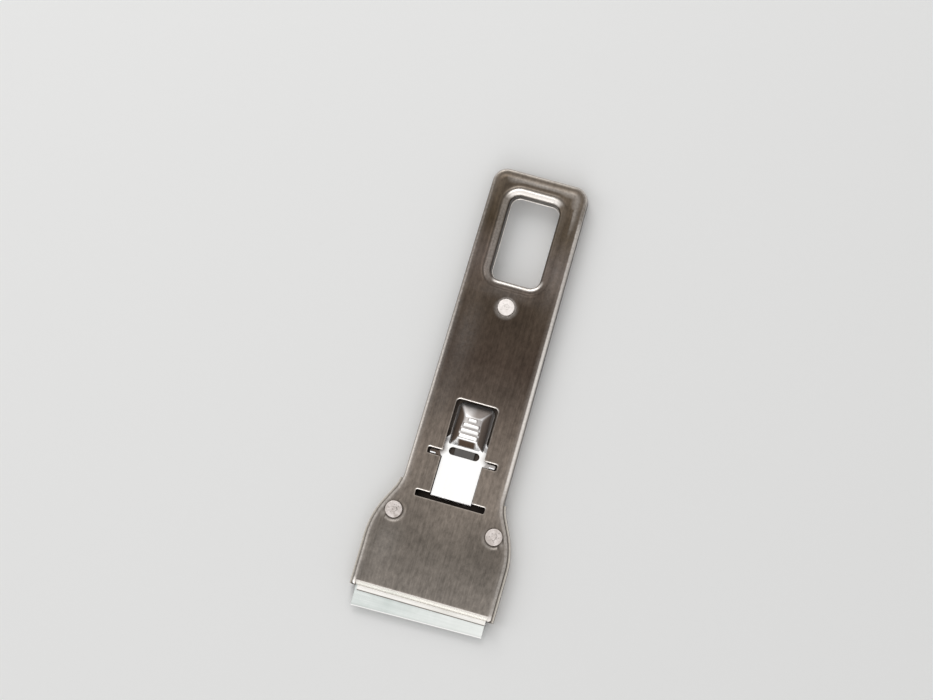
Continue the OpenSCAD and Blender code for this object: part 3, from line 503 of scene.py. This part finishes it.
# Places where the cover's face is a little lighter: x, y, reach in x, reach in y, amount
LIGHTER_SPOTS = [(-9.5, 80, 3.2, 11, 0.055), (-11, 60, 3, 9, 0.03), (11.6, 105, 2.0, 10, 0.075),
        (-1, 95.2, 8, 1.8, 0.06), (-15.5, 15, 4, 8, 0.07), (-12, 104, 1.5, 8, 0.02)]


def lighter_spots(v):
    """Lightening of the cover's face from the table above: each place fades as exp(-(dx/reach)^2 -
    (dy/reach)^2).
    """
    x, y, z = v.T
    glow = [k * np.exp(-((x - px) / rx) ** 2 - ((y - py) / ry) ** 2) for px, py, rx, ry, k in LIGHTER_SPOTS]
    return np.sum(glow, 0) * (z > THICK - 1)


def rivet_marks(v, marks):
    """A painted shadow ring lies round each shoulder rivet, a painted glow outside each rivet,
    strongest below it, and a painted highlight close round the handle rivet: each ring fades as
    exp(-(dr/width)^2)."""
    for name, (x, y) in RIVETS.items():
        r = np.hypot(v[:, 0] - x, v[:, 1] - y)
        film_and_shade, glow = (0.0, 0.14) if name == "handle_rivet" else (0.75, 0.2)
        marks[:, 1] = np.maximum(marks[:, 1], film_and_shade * np.exp(-((r - 2.66) / 0.16) ** 2))
        marks[:, 0] += glow * np.exp(-((r - 3.3) / 0.4) ** 2) * ease(0.5 - (v[:, 1] - y) / 6)
        if name == "handle_rivet":
            marks[:, 0] += 0.3 * np.exp(-((r - 2.7) / 0.3) ** 2)


# Distances inward of the flat border's rows, between the bend and the face
BORDER = [1.05, 1.4, 1.8, 2.1, 2.4, 2.7, 3.0]


def side_marks(x, y):
    """Marks of the side's 20 rows along the outline: rim 0 to 3, bend 4 to 12 and border 13 to 19.
    The bend gets a painted highlight along the handle and shoulders, less so round the end, and the
    left rim painted shade."""
    highlight_rows = np.concatenate([[0.3, 0.1, 0.15, 0.3], 0.3 + 0.7 * np.sin(np.linspace(0.15, 2.7, 9)),
                          [0.25, 0.16, 0.08, 0.04, 0, 0, 0]])[:, None]
    polish = highlight_rows * (0.3 + 0.2 * ease((y - 30) / 8) - 0.3 * ease((y - 70) / 40))
    # Painted highlight lines along the bend round the handle's end
    polish[4:7] += 0.35 * ease((y - 100) / 20)
    polish[6:10] += 0.3 * ease((y - 126) / 3)
    # A patchy painted highlight follows the handle's end and its right corner
    patch = ease((y - 115) / 8) * ease((x + 12) / 5)
    polish[15:20] += np.array([0.04, 0.1, 0.17, 0.22, 0.22])[:, None] * patch
    # Painted highlight: the bend's two ends beside the mouth, and its right side along the handle, are
    # brighter
    polish[4:13] += np.array([0.1, 0.3, 0.6, 0.8, 0.9, 0.9, 0.9, 0.9, 0.9])[:, None] * (y < 1)
    polish[4:12] += 0.3 * (x > 0) * ease((y - 36) / 6) * ease((124 - y) / 6)
    # Painted shade on the left side's rim and the start of its bend
    soil = np.zeros_like(polish)
    soil[3:7] = 0.4 * (x <= 0) * ease((y - 36) / 6)
    return polish, soil


def cover_side(s):
    """Rim, bend and border: a profile carried along the outline, whose rim is cut higher on the head,
    and which rounds off towards its border, most at the handle's end. Gives the border's inner edge."""
    outline, normals = trace(BODY, step=1.2, turn=4.0, closed=False)
    clear = outline[:, 1] > LIP_START + 0.3
    clear[[0, -1]] = True
    outline, normals = outline[clear], normals[clear]
    x, y = outline.T
    rows = np.concatenate([
        [(0, NEST_GAP, -1, 0), (0, 0.7, -1, 0), (0, 2.3, -1, 0), (0, 3.4, -1, 0)],
        bow(EDGE_R, THICK - EDGE_R, EDGE_R, 180, 90, 9),
        [(d, THICK, 0, 1) for d in BORDER]])
    back = rows[:, :2] - SHEET * rows[:, 2:]
    low = np.where(y < SWAP_Y, HEAD_RIM_LOW, NEST_GAP)
    fall = (0.05 + 0.3 * ease((y - 116) / 12)) * ease((y - 30) / 20)
    drop = fall * ease((3.0 - rows[:, :1]) / 1.7) * np.clip((rows[:, 1:2] - 0.5) / 3.5, 0, 1)
    sides = []
    for d, z in ((rows[:, 0], rows[:, 1:2]), (back[:, 0], back[:, 1:2])):
        high = low + (z - NEST_GAP) * (THICK - low) / (THICK - NEST_GAP) - drop
        flat = outline + d[:, None, None] * normals
        side = net(flat[..., 0], flat[..., 1], high)
        for k, inset in enumerate(rows[:, 0]):
            side[k, [0, -1], 1] = mouth_end(inset) if inset <= EDGE_R else LIP_START
        sides.append(side)
    s.grid(*sides, *side_marks(x, y))
    return sides[0][-1, :, :2]


def lip(s):
    """Lip: bent down by LIP_ANGLE on a 1 mm radius, then straight to its lower edge; it is painted
    bright as highlight, down to a painted shadow line at its edge. Gives its columns' places along X."""
    edge = [HEAD_W / 2 - d for d in BORDER]
    x = np.array(edge + np.linspace(edge[-1], -edge[-1], 33)[1:-1].tolist() + [-k for k in edge[::-1]])
    turn = np.radians(np.linspace(0, LIP_ANGLE, 6))
    part = np.array([0.62, 1.0])
    y, z = LIP_START - np.sin(turn), THICK - 1 + np.cos(turn)
    y = np.append(y, y[-1] + part * (LIP_END[0] - y[-1]))[:, None]
    z = np.append(z, z[-1] + part * (LIP_END[1] - z[-1]))[:, None]
    turn = np.append(turn, turn[[-1, -1]])[:, None]
    outer = net(x, y, z)
    polish = np.array([0, 0, 0, 0.15, 1.5, 1.6, 1.6, 1.5])[:, None]
    soil = np.array([0, 0, 0, 0, 0, 0, 0, 0.5])[:, None]
    s.grid(outer, outer - SHEET * net(0, -np.sin(turn), np.cos(turn)), polish, soil)
    return x


def bead(s):
    """Bead round the hanging hole: a hollow at its foot, the crest, then the collar down to a faint
    inward curl. Gives the loop that the face ends at."""
    foot = math.sqrt((BEAD_R + FOOT_R) ** 2 - (THICK + FOOT_R - BEAD_Z) ** 2)
    meet = math.degrees(math.atan2(THICK + FOOT_R - BEAD_Z, foot))
    rows = np.concatenate([
        [(-BEAD_REACH, THICK, 0, 1)],
        bow(-BEAD_R - foot, THICK + FOOT_R, FOOT_R, -90, -meet, 6, inner=True),
        bow(-BEAD_R, BEAD_Z, BEAD_R, 180 - meet, 0, 19)[1:],
        [(0, 3.0, 1, 0), (0, 1.2, 1, 0)],
        bow(0.4, 1.05, 0.4, 180, 245, 5, inner=True)])
    loop, inward = trace(HOLE, step=1.2, turn=5.0)
    # Where across the profile, from 0 at the foot to 1 at the cut edge, each painted highlight and
    # shade lies
    place = np.arange(len(rows)) / (len(rows) - 1)
    outside = np.interp(place, [0, 0.14, 0.34, 0.48, 0.62, 0.76], [0, 0.08, 0.7, 1, 0.5, 0])[:, None]
    crest = np.interp(place, [0.38, 0.48, 0.58, 0.68], [0, 0.8, 0.9, 0])[:, None]
    within = np.interp(place, [0.5, 0.62, 0.74, 0.86], [0, 0.7, 0.7, 0])[:, None]
    wall = np.interp(place, [0.55, 0.7, 0.88, 0.94], [0, 1, 1, 0])[:, None]
    brink = np.interp(place, [0.66, 0.72, 0.76, 0.8], [0, 1, 1, 0])[:, None]
    cut = np.interp(place, [0.87, 0.9, 1], [0, 0.9, 1])[:, None]
    # Painted highlight on the outer slope at the end of the handle and a little on the left, on the
    # crest and the inner slope at the lower side, on the brink on the right, and on the cut edge all
    # round
    end = ease(2 * (-inward @ (-0.2, 0.98)) - 0.9)
    left = ease(-inward @ (-1, 0.1))
    polish = np.maximum.reduce([
        outside * (0.04 + 1.0 * end + 0.16 * left),
        within * (0.02 + 0.8 * ease(inward @ (-0.35, 0.93) * 1.5 - 0.5)),
        crest * 0.8 * ease(inward @ (-0.45, 0.89) * 1.7 - 0.6),
        cut * np.ones(len(loop)),
        brink * 0.75 * ease(inward @ (-1.6, -0.2) - 0.5)])
    # Painted shade on the inner slope at the top and on the collar's wall on the left
    soil = np.maximum(within * 0.3 * ease(-inward @ (0, 1)), wall * 0.5 * ease(inward @ (1, -0.3)))
    s.strip(loop, inward, rows, polish, soil)
    return loop - BEAD_REACH * inward


def window(s):
    """Window and notches: the punch left a low burr round the edge. Gives the loop that the face ends
    at."""
    w, r = WINDOW_HALF, 0.5
    half = [(NOTCH_REACH, WINDOW_LOW, r), (NOTCH_REACH, WINDOW_LOW + NOTCH_H, r),
            (w, WINDOW_LOW + NOTCH_H, 0), (w, NOTCH_HIGH, 0), (NOTCH_REACH, NOTCH_HIGH, r),
            (NOTCH_REACH, NOTCH_HIGH + NOTCH_H, r), (w, NOTCH_HIGH + NOTCH_H, 0), (w, WINDOW_HIGH, 1.2)]
    loop, inward = trace(half + [(-x, y, k) for x, y, k in half[::-1]], step=0.8, turn=10.0)
    burr = [(-0.62, 0), (-0.42, 0.005), (-0.28, 0.03), (-0.17, 0.1), (-0.09, 0.13), (-0.03, 0.11),
            (0, 0.05)]
    # Painted highlight on the burr, strongest along the upper edges
    highlight_rows = np.array([0, 0.1, 0.5, 0.9, 1, 0.8, 0.4])[:, None]
    s.strip(loop, inward, [(d, THICK + h, 0, 1) for d, h in burr],
            polish=highlight_rows * (0.1 + 0.7 * ease(-1.1 * inward[:, 1])))
    return loop + burr[0][0] * inward


def front_cover():
    """Side, lip, bead and window edge, each a profile carried along its line, and the flat sheet that
    joins them."""
    s = Sheet()
    border = cover_side(s)
    x = lip(s)[len(BORDER):-len(BORDER)][::-1]
    hole = bead(s)
    opening = window(s)
    rim = np.concatenate([border, np.stack([x, np.full(len(x), LIP_START)], 1)])
    s.floor([rim, hole, opening], THICK, more=np.concatenate([rivet_rings(rim), spread(rim)]))
    v, marks, faces = s.welded()
    marks[:, 0] += lighter_spots(v)
    v[:, 2] -= dimple(v, FRONT_SEAT, level_handle=True)
    rivet_marks(v, marks)
    return make("front_cover_sheet", "covers", "cover_steel", cover_steel, v, marks, faces,
                "front_cover")


def back_cover():
    """Made face up like the front cover and then turned over: height becomes thickness less height. Its
    side lies outside the front cover's on the head and inside it on the handle."""
    s = Sheet()
    outline, normals = trace(BODY, step=1.2, turn=4.0, closed=False)
    bend = np.concatenate([bow(EDGE_R, THICK - EDGE_R, EDGE_R, 180, 90, 7), [(1.3, THICK, 0, 1)]])
    # Painted highlight along the rim's edge and bend
    glow = np.concatenate([[0.8, 0.1], 0.2 + 0.4 * np.sin(np.linspace(0.2, 2.6, 7)), [0.1]])[:, None]
    head = outline[:, 1] < SWAP_Y - NEST_GAP
    rims = []
    for part, gap, rim_rows, highlight_rows in (
            (head & (outline[:, 0] > 0), -NEST, [(0, 1.2, -1, 0), (0, 2.6, -1, 0)], glow),
            (~head, NEST, [(0, 3.0, -1, 0)], glow[1:] * 0.6),
            (head & (outline[:, 0] < 0), -NEST, [(0, 1.2, -1, 0), (0, 2.6, -1, 0)], glow)):
        p, n = outline[part] + gap * normals[part], normals[part]
        outer = s.strip(p, n, np.concatenate([rim_rows, bend]), polish=highlight_rows, closed=False)
        rims.append(outer[-1, :, :2])
    rim = np.concatenate(rims)
    front = np.stack([np.linspace(rim[-1, 0], rim[0, 0], 40)[1:-1], np.zeros(38)], 1)
    rim = np.concatenate([rim, front])
    loop, inward = trace(HOLE, step=1.2, turn=6.0)
    s.floor([rim, loop - NEST * inward], THICK, more=rivet_rings(rim))
    v, marks, faces = s.welded()
    v[:, 2] = THICK - (v[:, 2] - dimple(v, BACK_SEAT))
    faces = [f[:, ::-1] for f in faces]
    return make("back_cover_sheet", "covers", "back_steel", back_steel, v, marks, faces, "back_cover")


# ------------------------------------------------------------ rivets
# Radius and height: closing head below, shank, and head up to the edge of its crown
RIVET_ROWS = [(0.0, 0.05), (2.1, 0.05), (2.35, 0.09), (2.45, 0.2), (2.45, 0.55), (1.5, 0.56),
              (1.5, 4.6), (1.52, 4.65), (2.5, 4.66), (RIVET_HEAD_R, 4.72), (RIVET_HEAD_R, 5.12),
              (2.53, 5.22), (2.46, 5.3)]
CROWN_R, CROWN_Z, CROWN_ROWS = 2.35, 5.35, 26


def rivet(name, seed, columns=72):
    """Head, shank and closing head in one profile turned about the rivet's axis, with the punch's
    irregular marks: the crown sinks along a wavy ring 0.8 mm from its centre and in a few pits."""
    x, y = RIVETS[name]
    crown = np.stack([np.linspace(CROWN_R, 0, CROWN_ROWS), np.full(CROWN_ROWS, CROWN_Z)], 1)
    rows = np.concatenate([RIVET_ROWS, crown])
    a = np.linspace(0, 2 * math.pi, columns, endpoint=False)
    v = net(x + rows[:, :1] * np.cos(a), y + rows[:, :1] * np.sin(a), rows[:, 1:])
    dx, dy = v[..., 0] - x, v[..., 1] - y
    r, a = np.hypot(dx, dy), np.arctan2(dy, dx)
    draw = np.random.default_rng(seed)
    p = draw.uniform(0, 6.28, 6)
    wavy = 0.85 + 0.16 * np.sin(2 * a + p[0]) + 0.1 * np.sin(3 * a + p[1]) + 0.06 * np.sin(7 * a + p[2])
    ring = np.exp(-((r - wavy) / 0.13) ** 2) * (0.55 + 0.45 * np.sin(a + p[3]))
    pits = np.zeros_like(r)
    for q in draw.uniform(-1.5, 1.5, (9, 2)):
        pits = np.maximum(pits, np.exp(-((dx - q[0]) ** 2 + (dy - q[1]) ** 2) / 0.03))
    face = (v[..., 2] > 5.3) * 1.0
    mark = face * np.clip(ring + 0.8 * pits, 0, 1)
    v[..., 2] -= 0.07 * mark + face * 0.05 * ease(1 - r / 0.9) - face * 0.03 * ease(1 - r / 0.35)
    # Painted shade darkens the punch marks, and the shoulder rivets are duller than the handle rivet
    dull = 0.0 if name == "handle_rivet" else 1.0
    polish = (0.3 - 0.3 * dull) * face
    soil = (0.3 + 0.2 * dull) * mark + 0.16 * dull * face
    turned = closed_grid(v, polish, soil)
    return make(name + "_turned", "covers", "rivet_steel", rivet_alloy, *turned, name)


# ------------------------------------------------------------ thumb slide
def post(a, b, front, low, high, r=0.12):
    """An upright bar from X = a to X = b, SLIDE_T thick behind Y = front, its top edge rounded by r."""
    back = front + SLIDE_T
    corners = [(a, front, 0.1), (b, front, 0.1), (b, back, 0.1), (a, back, 0.1)]
    loop, inward = trace(corners, step=0.5, turn=30)
    turn = np.radians(np.linspace(0, 90, 4))
    inset = np.concatenate([[0], r - r * np.cos(turn)])
    height = np.concatenate([[low], high - r + r * np.sin(turn)])
    wall = loop + inset[:, None, None] * inward
    foot, cap = (net(*loop.mean(0), np.full((1, len(loop)), z)) for z in (low, high))
    return np.concatenate([foot, net(wall[..., 0], wall[..., 1], height[:, None]), cap])


def pad_height(x, y):
    """Height of the pressed thumb pad over the plate: the soft minimum of its lower wall, crown, upper
    flank and two side flanks, with a soft foot, plus four round ridges across the crown."""
    crown_half = 2.95 - 1.2 * ease((y - 51) / 6)
    planes = np.stack([
        (y - PAD_LOW) * PAD_RISE / 1.7,
        (PAD_HIGH - y) * 3.25 / 4.1,
        PAD_RISE - (y - 49.3) * 0.35 / 7.2,
        (PAD_HALF - np.abs(x)) * 3.7 / (PAD_HALF - crown_half)])
    k = 0.5
    h = -k * np.log(np.exp(-np.clip(planes, -8, 12) / k).sum(0))
    h = 0.2 * np.log1p(np.exp(np.clip((h + 0.25) / 0.2, -40, 40))) * ease((h + 0.6) / 0.6)
    for place, reach in RIDGES:
        across = ease((reach + 0.25 - np.abs(x)) / 0.6)
        h = h + across * RIDGE_H * np.sqrt(np.clip(1 - ((y - place) / 0.66) ** 2, 0, 1))
    return h


def pad_slope(x, y, half=0.02):
    """How steeply the pad rises along X and along Y, held within 2, from heights 2 * half apart."""
    sx = (pad_height(x + half, y) - pad_height(x - half, y)) / (2 * half)
    sy = (pad_height(x, y + half) - pad_height(x, y - half)) / (2 * half)
    return np.clip(sx, -2, 2), np.clip(sy, -2, 2)


def slide_marks(x, y, h, sx, sy):
    """Painted shade darkens the flanks, the grooves, the far edge and the arms with the hooks,
    and a painted highlight makes the ridges and the plate bright."""
    far = np.abs(x)
    ridge = np.zeros(len(x))
    for place, reach in RIDGES:
        on = ease((reach + 0.1 - far) / 0.3) * np.clip(1 - ((y - place) / 0.62) ** 2, 0, 1)
        ridge = np.maximum(ridge, on)
    on_pad = ease((h - 0.15) / 0.5)
    flank = ease((np.abs(sx) - 0.25) / 0.7) * np.where(x < 0, 0.97, 0.92)
    wall = ease((sy - 0.5) / 0.8) * (y < 50) * ease((3.3 - far) / 1.2)
    upper = ease((-sy - 0.15) / 0.3) * (0.58 + 0.24 * ease((x + 1.6) / 2.5))
    groove = ((y > 50.2) & (y < 56.4)) * ease((2.9 - far) / 0.4) * 0.62
    dark = on_pad * np.clip(np.maximum.reduce([flank, wall, upper, groove]), 0, 1) * (1 - ridge)
    edge = 0.7 * np.maximum(ease((y - 60.0) / 0.5), ease((far - 4.5) / 0.4) * ease((y - 49.8) / 0.8))
    arms = np.where(x < 0, 0.95, 0.55) * ease((far - 6.3) / 0.3)
    polish = np.maximum(ridge * on_pad, (h < 0.1) * (y < 48) * 0.6)
    return polish, np.clip(np.maximum.reduce([dark, edge, arms]), 0, 1)


def slide_plate(s, low_x):
    """Flat plate with arms, the long hole, and the pad pressed up in it: a flat net of points lifted by
    pad_height, the inner side SLIDE_T below along the surface's normal. low_x are the points' places
    along its lower edge."""
    bend_y = SLIDE_LOW + SLIDE_BEND
    half = [(SLIDE_HALF, bend_y, 0), (SLIDE_HALF, HOOK_Y, 0), (HOOK_REACH, HOOK_Y, 0),
            (HOOK_REACH, HOOK_Y + 1.3, 0.4), (7.38, HOOK_Y + 1.3, -0.3), (7.38, 48.4, 0.6),
            (5.6, 50.0, -1.2), (5.6, 60.9, 2.2)]
    outline, _ = trace(half + [(-x, y, r) for x, y, r in half[::-1]], step=0.6, turn=15, closed=False)
    low_edge = np.stack([low_x[1:-1], np.full(len(low_x) - 2, bend_y)], 1)
    loop = np.concatenate([outline, low_edge])
    hole, _ = trace([(-4.7, 44.5, 1.2), (4.7, 44.5, 1.2), (4.7, 46.9, 1.2), (-4.7, 46.9, 1.2)],
                    step=0.6, turn=12)
    gx, gy = np.meshgrid(np.arange(-5.4, 5.41, 0.16), np.arange(47.25, 60.75, 0.15))
    p = np.stack([gx.ravel(), gy.ravel()], 1)
    near = np.min(np.linalg.norm(p[:, None] - np.concatenate([loop, hole])[None], axis=2), 1)
    s.floor([loop, hole], 0.0, t=0.0, more=p[inside(p, loop) & ~inside(p, hole) & (near > 0.12)])
    x, y = s.outer[0][:, :2].T
    h = pad_height(x, y)
    sx, sy = pad_slope(x, y)
    up = np.stack([-sx, -sy, np.ones(len(x))], 1)
    up /= np.linalg.norm(up, axis=1)[:, None]
    s.outer[0] = np.column_stack([x, y, SLIDE_TOP + h])
    s.inner[0] = s.outer[0] - SLIDE_T * up
    s.polish[0], s.soil[0] = slide_marks(x, y, h, sx, sy)


def thumb_slide():
    """One stamping: the plate with its pad, its lower end turned down through 90 degrees on a radius
    of SLIDE_BEND, two hooks and two tabs. It is made level and then turned down about the tabs by
    PRESS."""
    s = Sheet()
    low_x = np.linspace(-SLIDE_HALF, SLIDE_HALF, 22)
    slide_plate(s, low_x)
    turn = np.radians(np.linspace(0, 90, 6))
    y = np.append(SLIDE_LOW + SLIDE_BEND - SLIDE_BEND * np.sin(turn), SLIDE_LOW)[:, None]
    z = np.append(SLIDE_TOP - SLIDE_BEND + SLIDE_BEND * np.cos(turn), 1.87)[:, None]
    wall = net(low_x[::-1], y, z)
    normal = net(0, np.append(-np.sin(turn), -1)[:, None], np.append(np.cos(turn), 0)[:, None])
    s.grid(wall, wall - SLIDE_T * normal, 0.2)
    v, marks, faces = s.welded()
    count, points, notes, faces = len(v), [v], [marks], list(faces)
    for side in (-1, 1):
        for near, far, front, low, high in (
                (8.2, HOOK_REACH, HOOK_Y, 3.84, 4.95), (3.2, 5.2, SLIDE_LOW, 1.02, 1.95)):
            v, marks, more = closed_grid(post(*sorted((side * near, side * far)), front, low, high))
            points.append(v)
            notes.append(marks)
            faces += [f + count for f in more]
            count += len(v)
    v = np.concatenate(points)
    y, z = v[:, 1] - PIVOT_Y, v[:, 2] - PIVOT_Z
    v[:, 1] = PIVOT_Y + y * math.cos(PRESS) + z * math.sin(PRESS)
    v[:, 2] = PIVOT_Z - y * math.sin(PRESS) + z * math.cos(PRESS)
    return make("thumb_slide_stamping", "thumb", "bright_steel", slide_zinc, v, np.concatenate(notes),
                faces, "thumb_slide", crease=50)


def return_spring(width=6.0, thick=0.3):
    """A strip, as heights along Y: its foot, the rise to its crest, just under the pressed slide, and a
    short turned-down tip."""
    crest = SLIDE_TOP - SLIDE_T - (47.2 - PIVOT_Y) * math.sin(PRESS) - 0.03 - thick
    y = np.array([33.4, 35.6, 37.6, 38.2, 38.8, 39.5, 42.0, 45.0, 46.2, 46.8, 47.4, 48.0, 49.2])
    foot = [(33.4, CARRIER_TOP), (38.0, CARRIER_TOP), (38.8, CARRIER_TOP + 0.07)]
    tip = [(46.4, crest - 0.1), (47.2, crest), (48.0, crest - 0.15), (49.2, crest - 0.68)]
    z = np.interp(y, *zip(*foot, *tip))
    slope = np.gradient(z, y)
    up = np.stack([-slope, np.ones(len(y))], 1) / np.hypot(slope, 1)[:, None]
    low = net(np.linspace(-width / 2, width / 2, 7), y[:, None], z[:, None])
    s = Sheet()
    s.grid(low + thick * net(0, up[:, :1], up[:, 1:]), low, 0.1)
    piece = make("return_spring_strip", None, "spring_steel", spring_steel, *s.welded(),
                 "return_spring")
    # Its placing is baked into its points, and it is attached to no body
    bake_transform(piece)
    return piece


def razor():
    """The blade: a rectangle 40 mm wide, ground to its front edge on both sides, with a honed line
    along it painted as a bright highlight and a faint painted shade behind it. It sits more askew than
    in the part, so it is 0.3 mm shallower to clear the same step. It is painted lighter towards its
    right end and darker towards its left, as light and shade."""
    half_d = BLADE_D / 2 - 0.15
    honed, ground = 0.22 - half_d, BLADE_BEVEL - half_d
    y = np.array([-half_d, honed, honed + 0.02, ground, ground + 0.1, half_d])
    t = BLADE_T * np.interp(y, [-half_d, ground], [0.04, 1])
    x = np.linspace(-BLADE_W / 2, BLADE_W / 2, 9)
    across, along = np.meshgrid(x, y)
    cos, sin = math.cos(RAZOR_SKEW), math.sin(RAZOR_SKEW)
    flat = RAZOR_X + across * cos - along * sin, RAZOR_Y + across * sin + along * cos
    s = Sheet()
    s.grid(net(*flat, BLADE_MID + t[:, None] / 2), net(*flat, BLADE_MID - t[:, None] / 2),
           np.array([1, 1, 0, 0, 0, 0])[:, None] + 0.4 * ease(x / 40 + 0.5),
           np.array([0, 0, 0.12, 0.06, 0, 0])[:, None] + 0.05 * ease(0.5 - x / 40))
    return make("blade_ground", "razor", "blade_steel", razor_steel, *s.welded(), "blade", crease=20)


front_cover()
back_cover()
for number, title in enumerate(RIVETS):
    rivet(title, 11 + number)
thumb_slide()
return_spring()
razor()
# The pieces inside keep the part's own shapes and get finishes, with painted shade on the carrier and
# on upright faces
for names, finish in (
        (("handle_spacer", "left_shoulder_spacer", "right_shoulder_spacer"), back_steel),
        (("left_clamp_rivet", "right_clamp_rivet", "spring_rivet"), rivet_alloy),
        (("blade_carrier",), carrier_black),
        (("blade_clamp",), clamp_zinc)):
    for title in names:
        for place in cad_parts[title].material_slots:
            place.material = finish

# ------------------------------------------------------------ floor, light and camera
# Floor: pale satin board, the same white to the camera and in the metal, with the scraper's shadow
board, tree, shader = fresh("pale satin board")
shader.inputs["Base Color"].default_value = tint("F2F2F1")
shader.inputs["Roughness"].default_value = 0.7
place = add(tree, "ShaderNodeTexCoord").outputs["Object"]
grain = add(tree, NOISE, {"Vector": place, "Scale": 300.0, "Detail": 2.0})
tooth = add(tree, BUMP, {"Height": grain.outputs[0], "Strength": 0.1, "Distance": 0.0002})
tree.links.new(tooth.outputs[0], shader.inputs["Normal"])
mesh = bpy.data.meshes.new("floor")
half, low = 2, -0.0002
mesh.from_pydata([(-half, -half, low), (half, -half, low), (half, half, low), (-half, half, low)],
                 [], [(0, 1, 2, 3)])
mesh.materials.append(board)
floor = bpy.data.objects.new("floor", mesh)
bpy.context.scene.collection.objects.link(floor)

# World: white to the camera and in the metal, and dimmer as a light, so that the lamps' shadows show
world = bpy.data.worlds.new("studio")
bpy.context.scene.world = world
world.use_nodes = True
tree = world.node_tree
tree.nodes.clear()
path = add(tree, "ShaderNodeLightPath")
seen = path.outputs["Is Camera Ray"]
for ray in ("Is Glossy Ray", "Is Transmission Ray"):
    seen = add(tree, MATH, {0: seen, 1: path.outputs[ray]}, operation="MAXIMUM").outputs[0]
strength = add(tree, RANGE, {"Value": seen, "To Min": 0.55, "To Max": 1.0})
sky = add(tree, "ShaderNodeBackground", {"Color": (1, 1, 1, 1), "Strength": strength.outputs[0]})
add(tree, "ShaderNodeOutputWorld", {"Surface": sky.outputs[0]})


def lamp(name, place, size, power):
    """A square soft box aimed at the middle of the scraper."""
    data = bpy.data.lights.new(name, "AREA")
    data.shape, data.size, data.energy = "SQUARE", size, power
    box = bpy.data.objects.new(name, data)
    box.location = place
    way = np.array(place) / np.linalg.norm(place)
    side = np.cross((0, 0, 1), way)
    side /= np.linalg.norm(side)
    up = np.cross(way, side)
    box.matrix_world = Matrix([[side[k], up[k], way[k], place[k]] for k in range(3)] + [[0, 0, 0, 1]])
    bpy.context.scene.collection.objects.link(box)


lamp("top soft box", (-0.35, 0.75, 0.55), 0.55, 3.0)
lamp("left soft box", (-0.8, -0.1, 0.6), 0.5, 0.9)
lamp("low soft box", (0.15, -0.8, 0.45), 0.6, 1.2)

# The photograph's view: from above, turned 16 degrees, through a long lens
camera = bpy.data.objects.new("camera", bpy.data.cameras.new("camera"))
camera.data.lens = 155.618
camera.data.sensor_width = 36
camera.matrix_world = Matrix([
    [0.958026, -0.266945, 0.104528, 0.117310],
    [0.277433, 0.955161, -0.103438, -0.110991],
    [-0.072229, 0.128096, 0.989128, 1.189186],
    [0, 0, 0, 1]])
bpy.context.scene.collection.objects.link(camera)
bpy.context.scene.camera = camera
bpy.context.scene.view_settings.view_transform = "Standard"
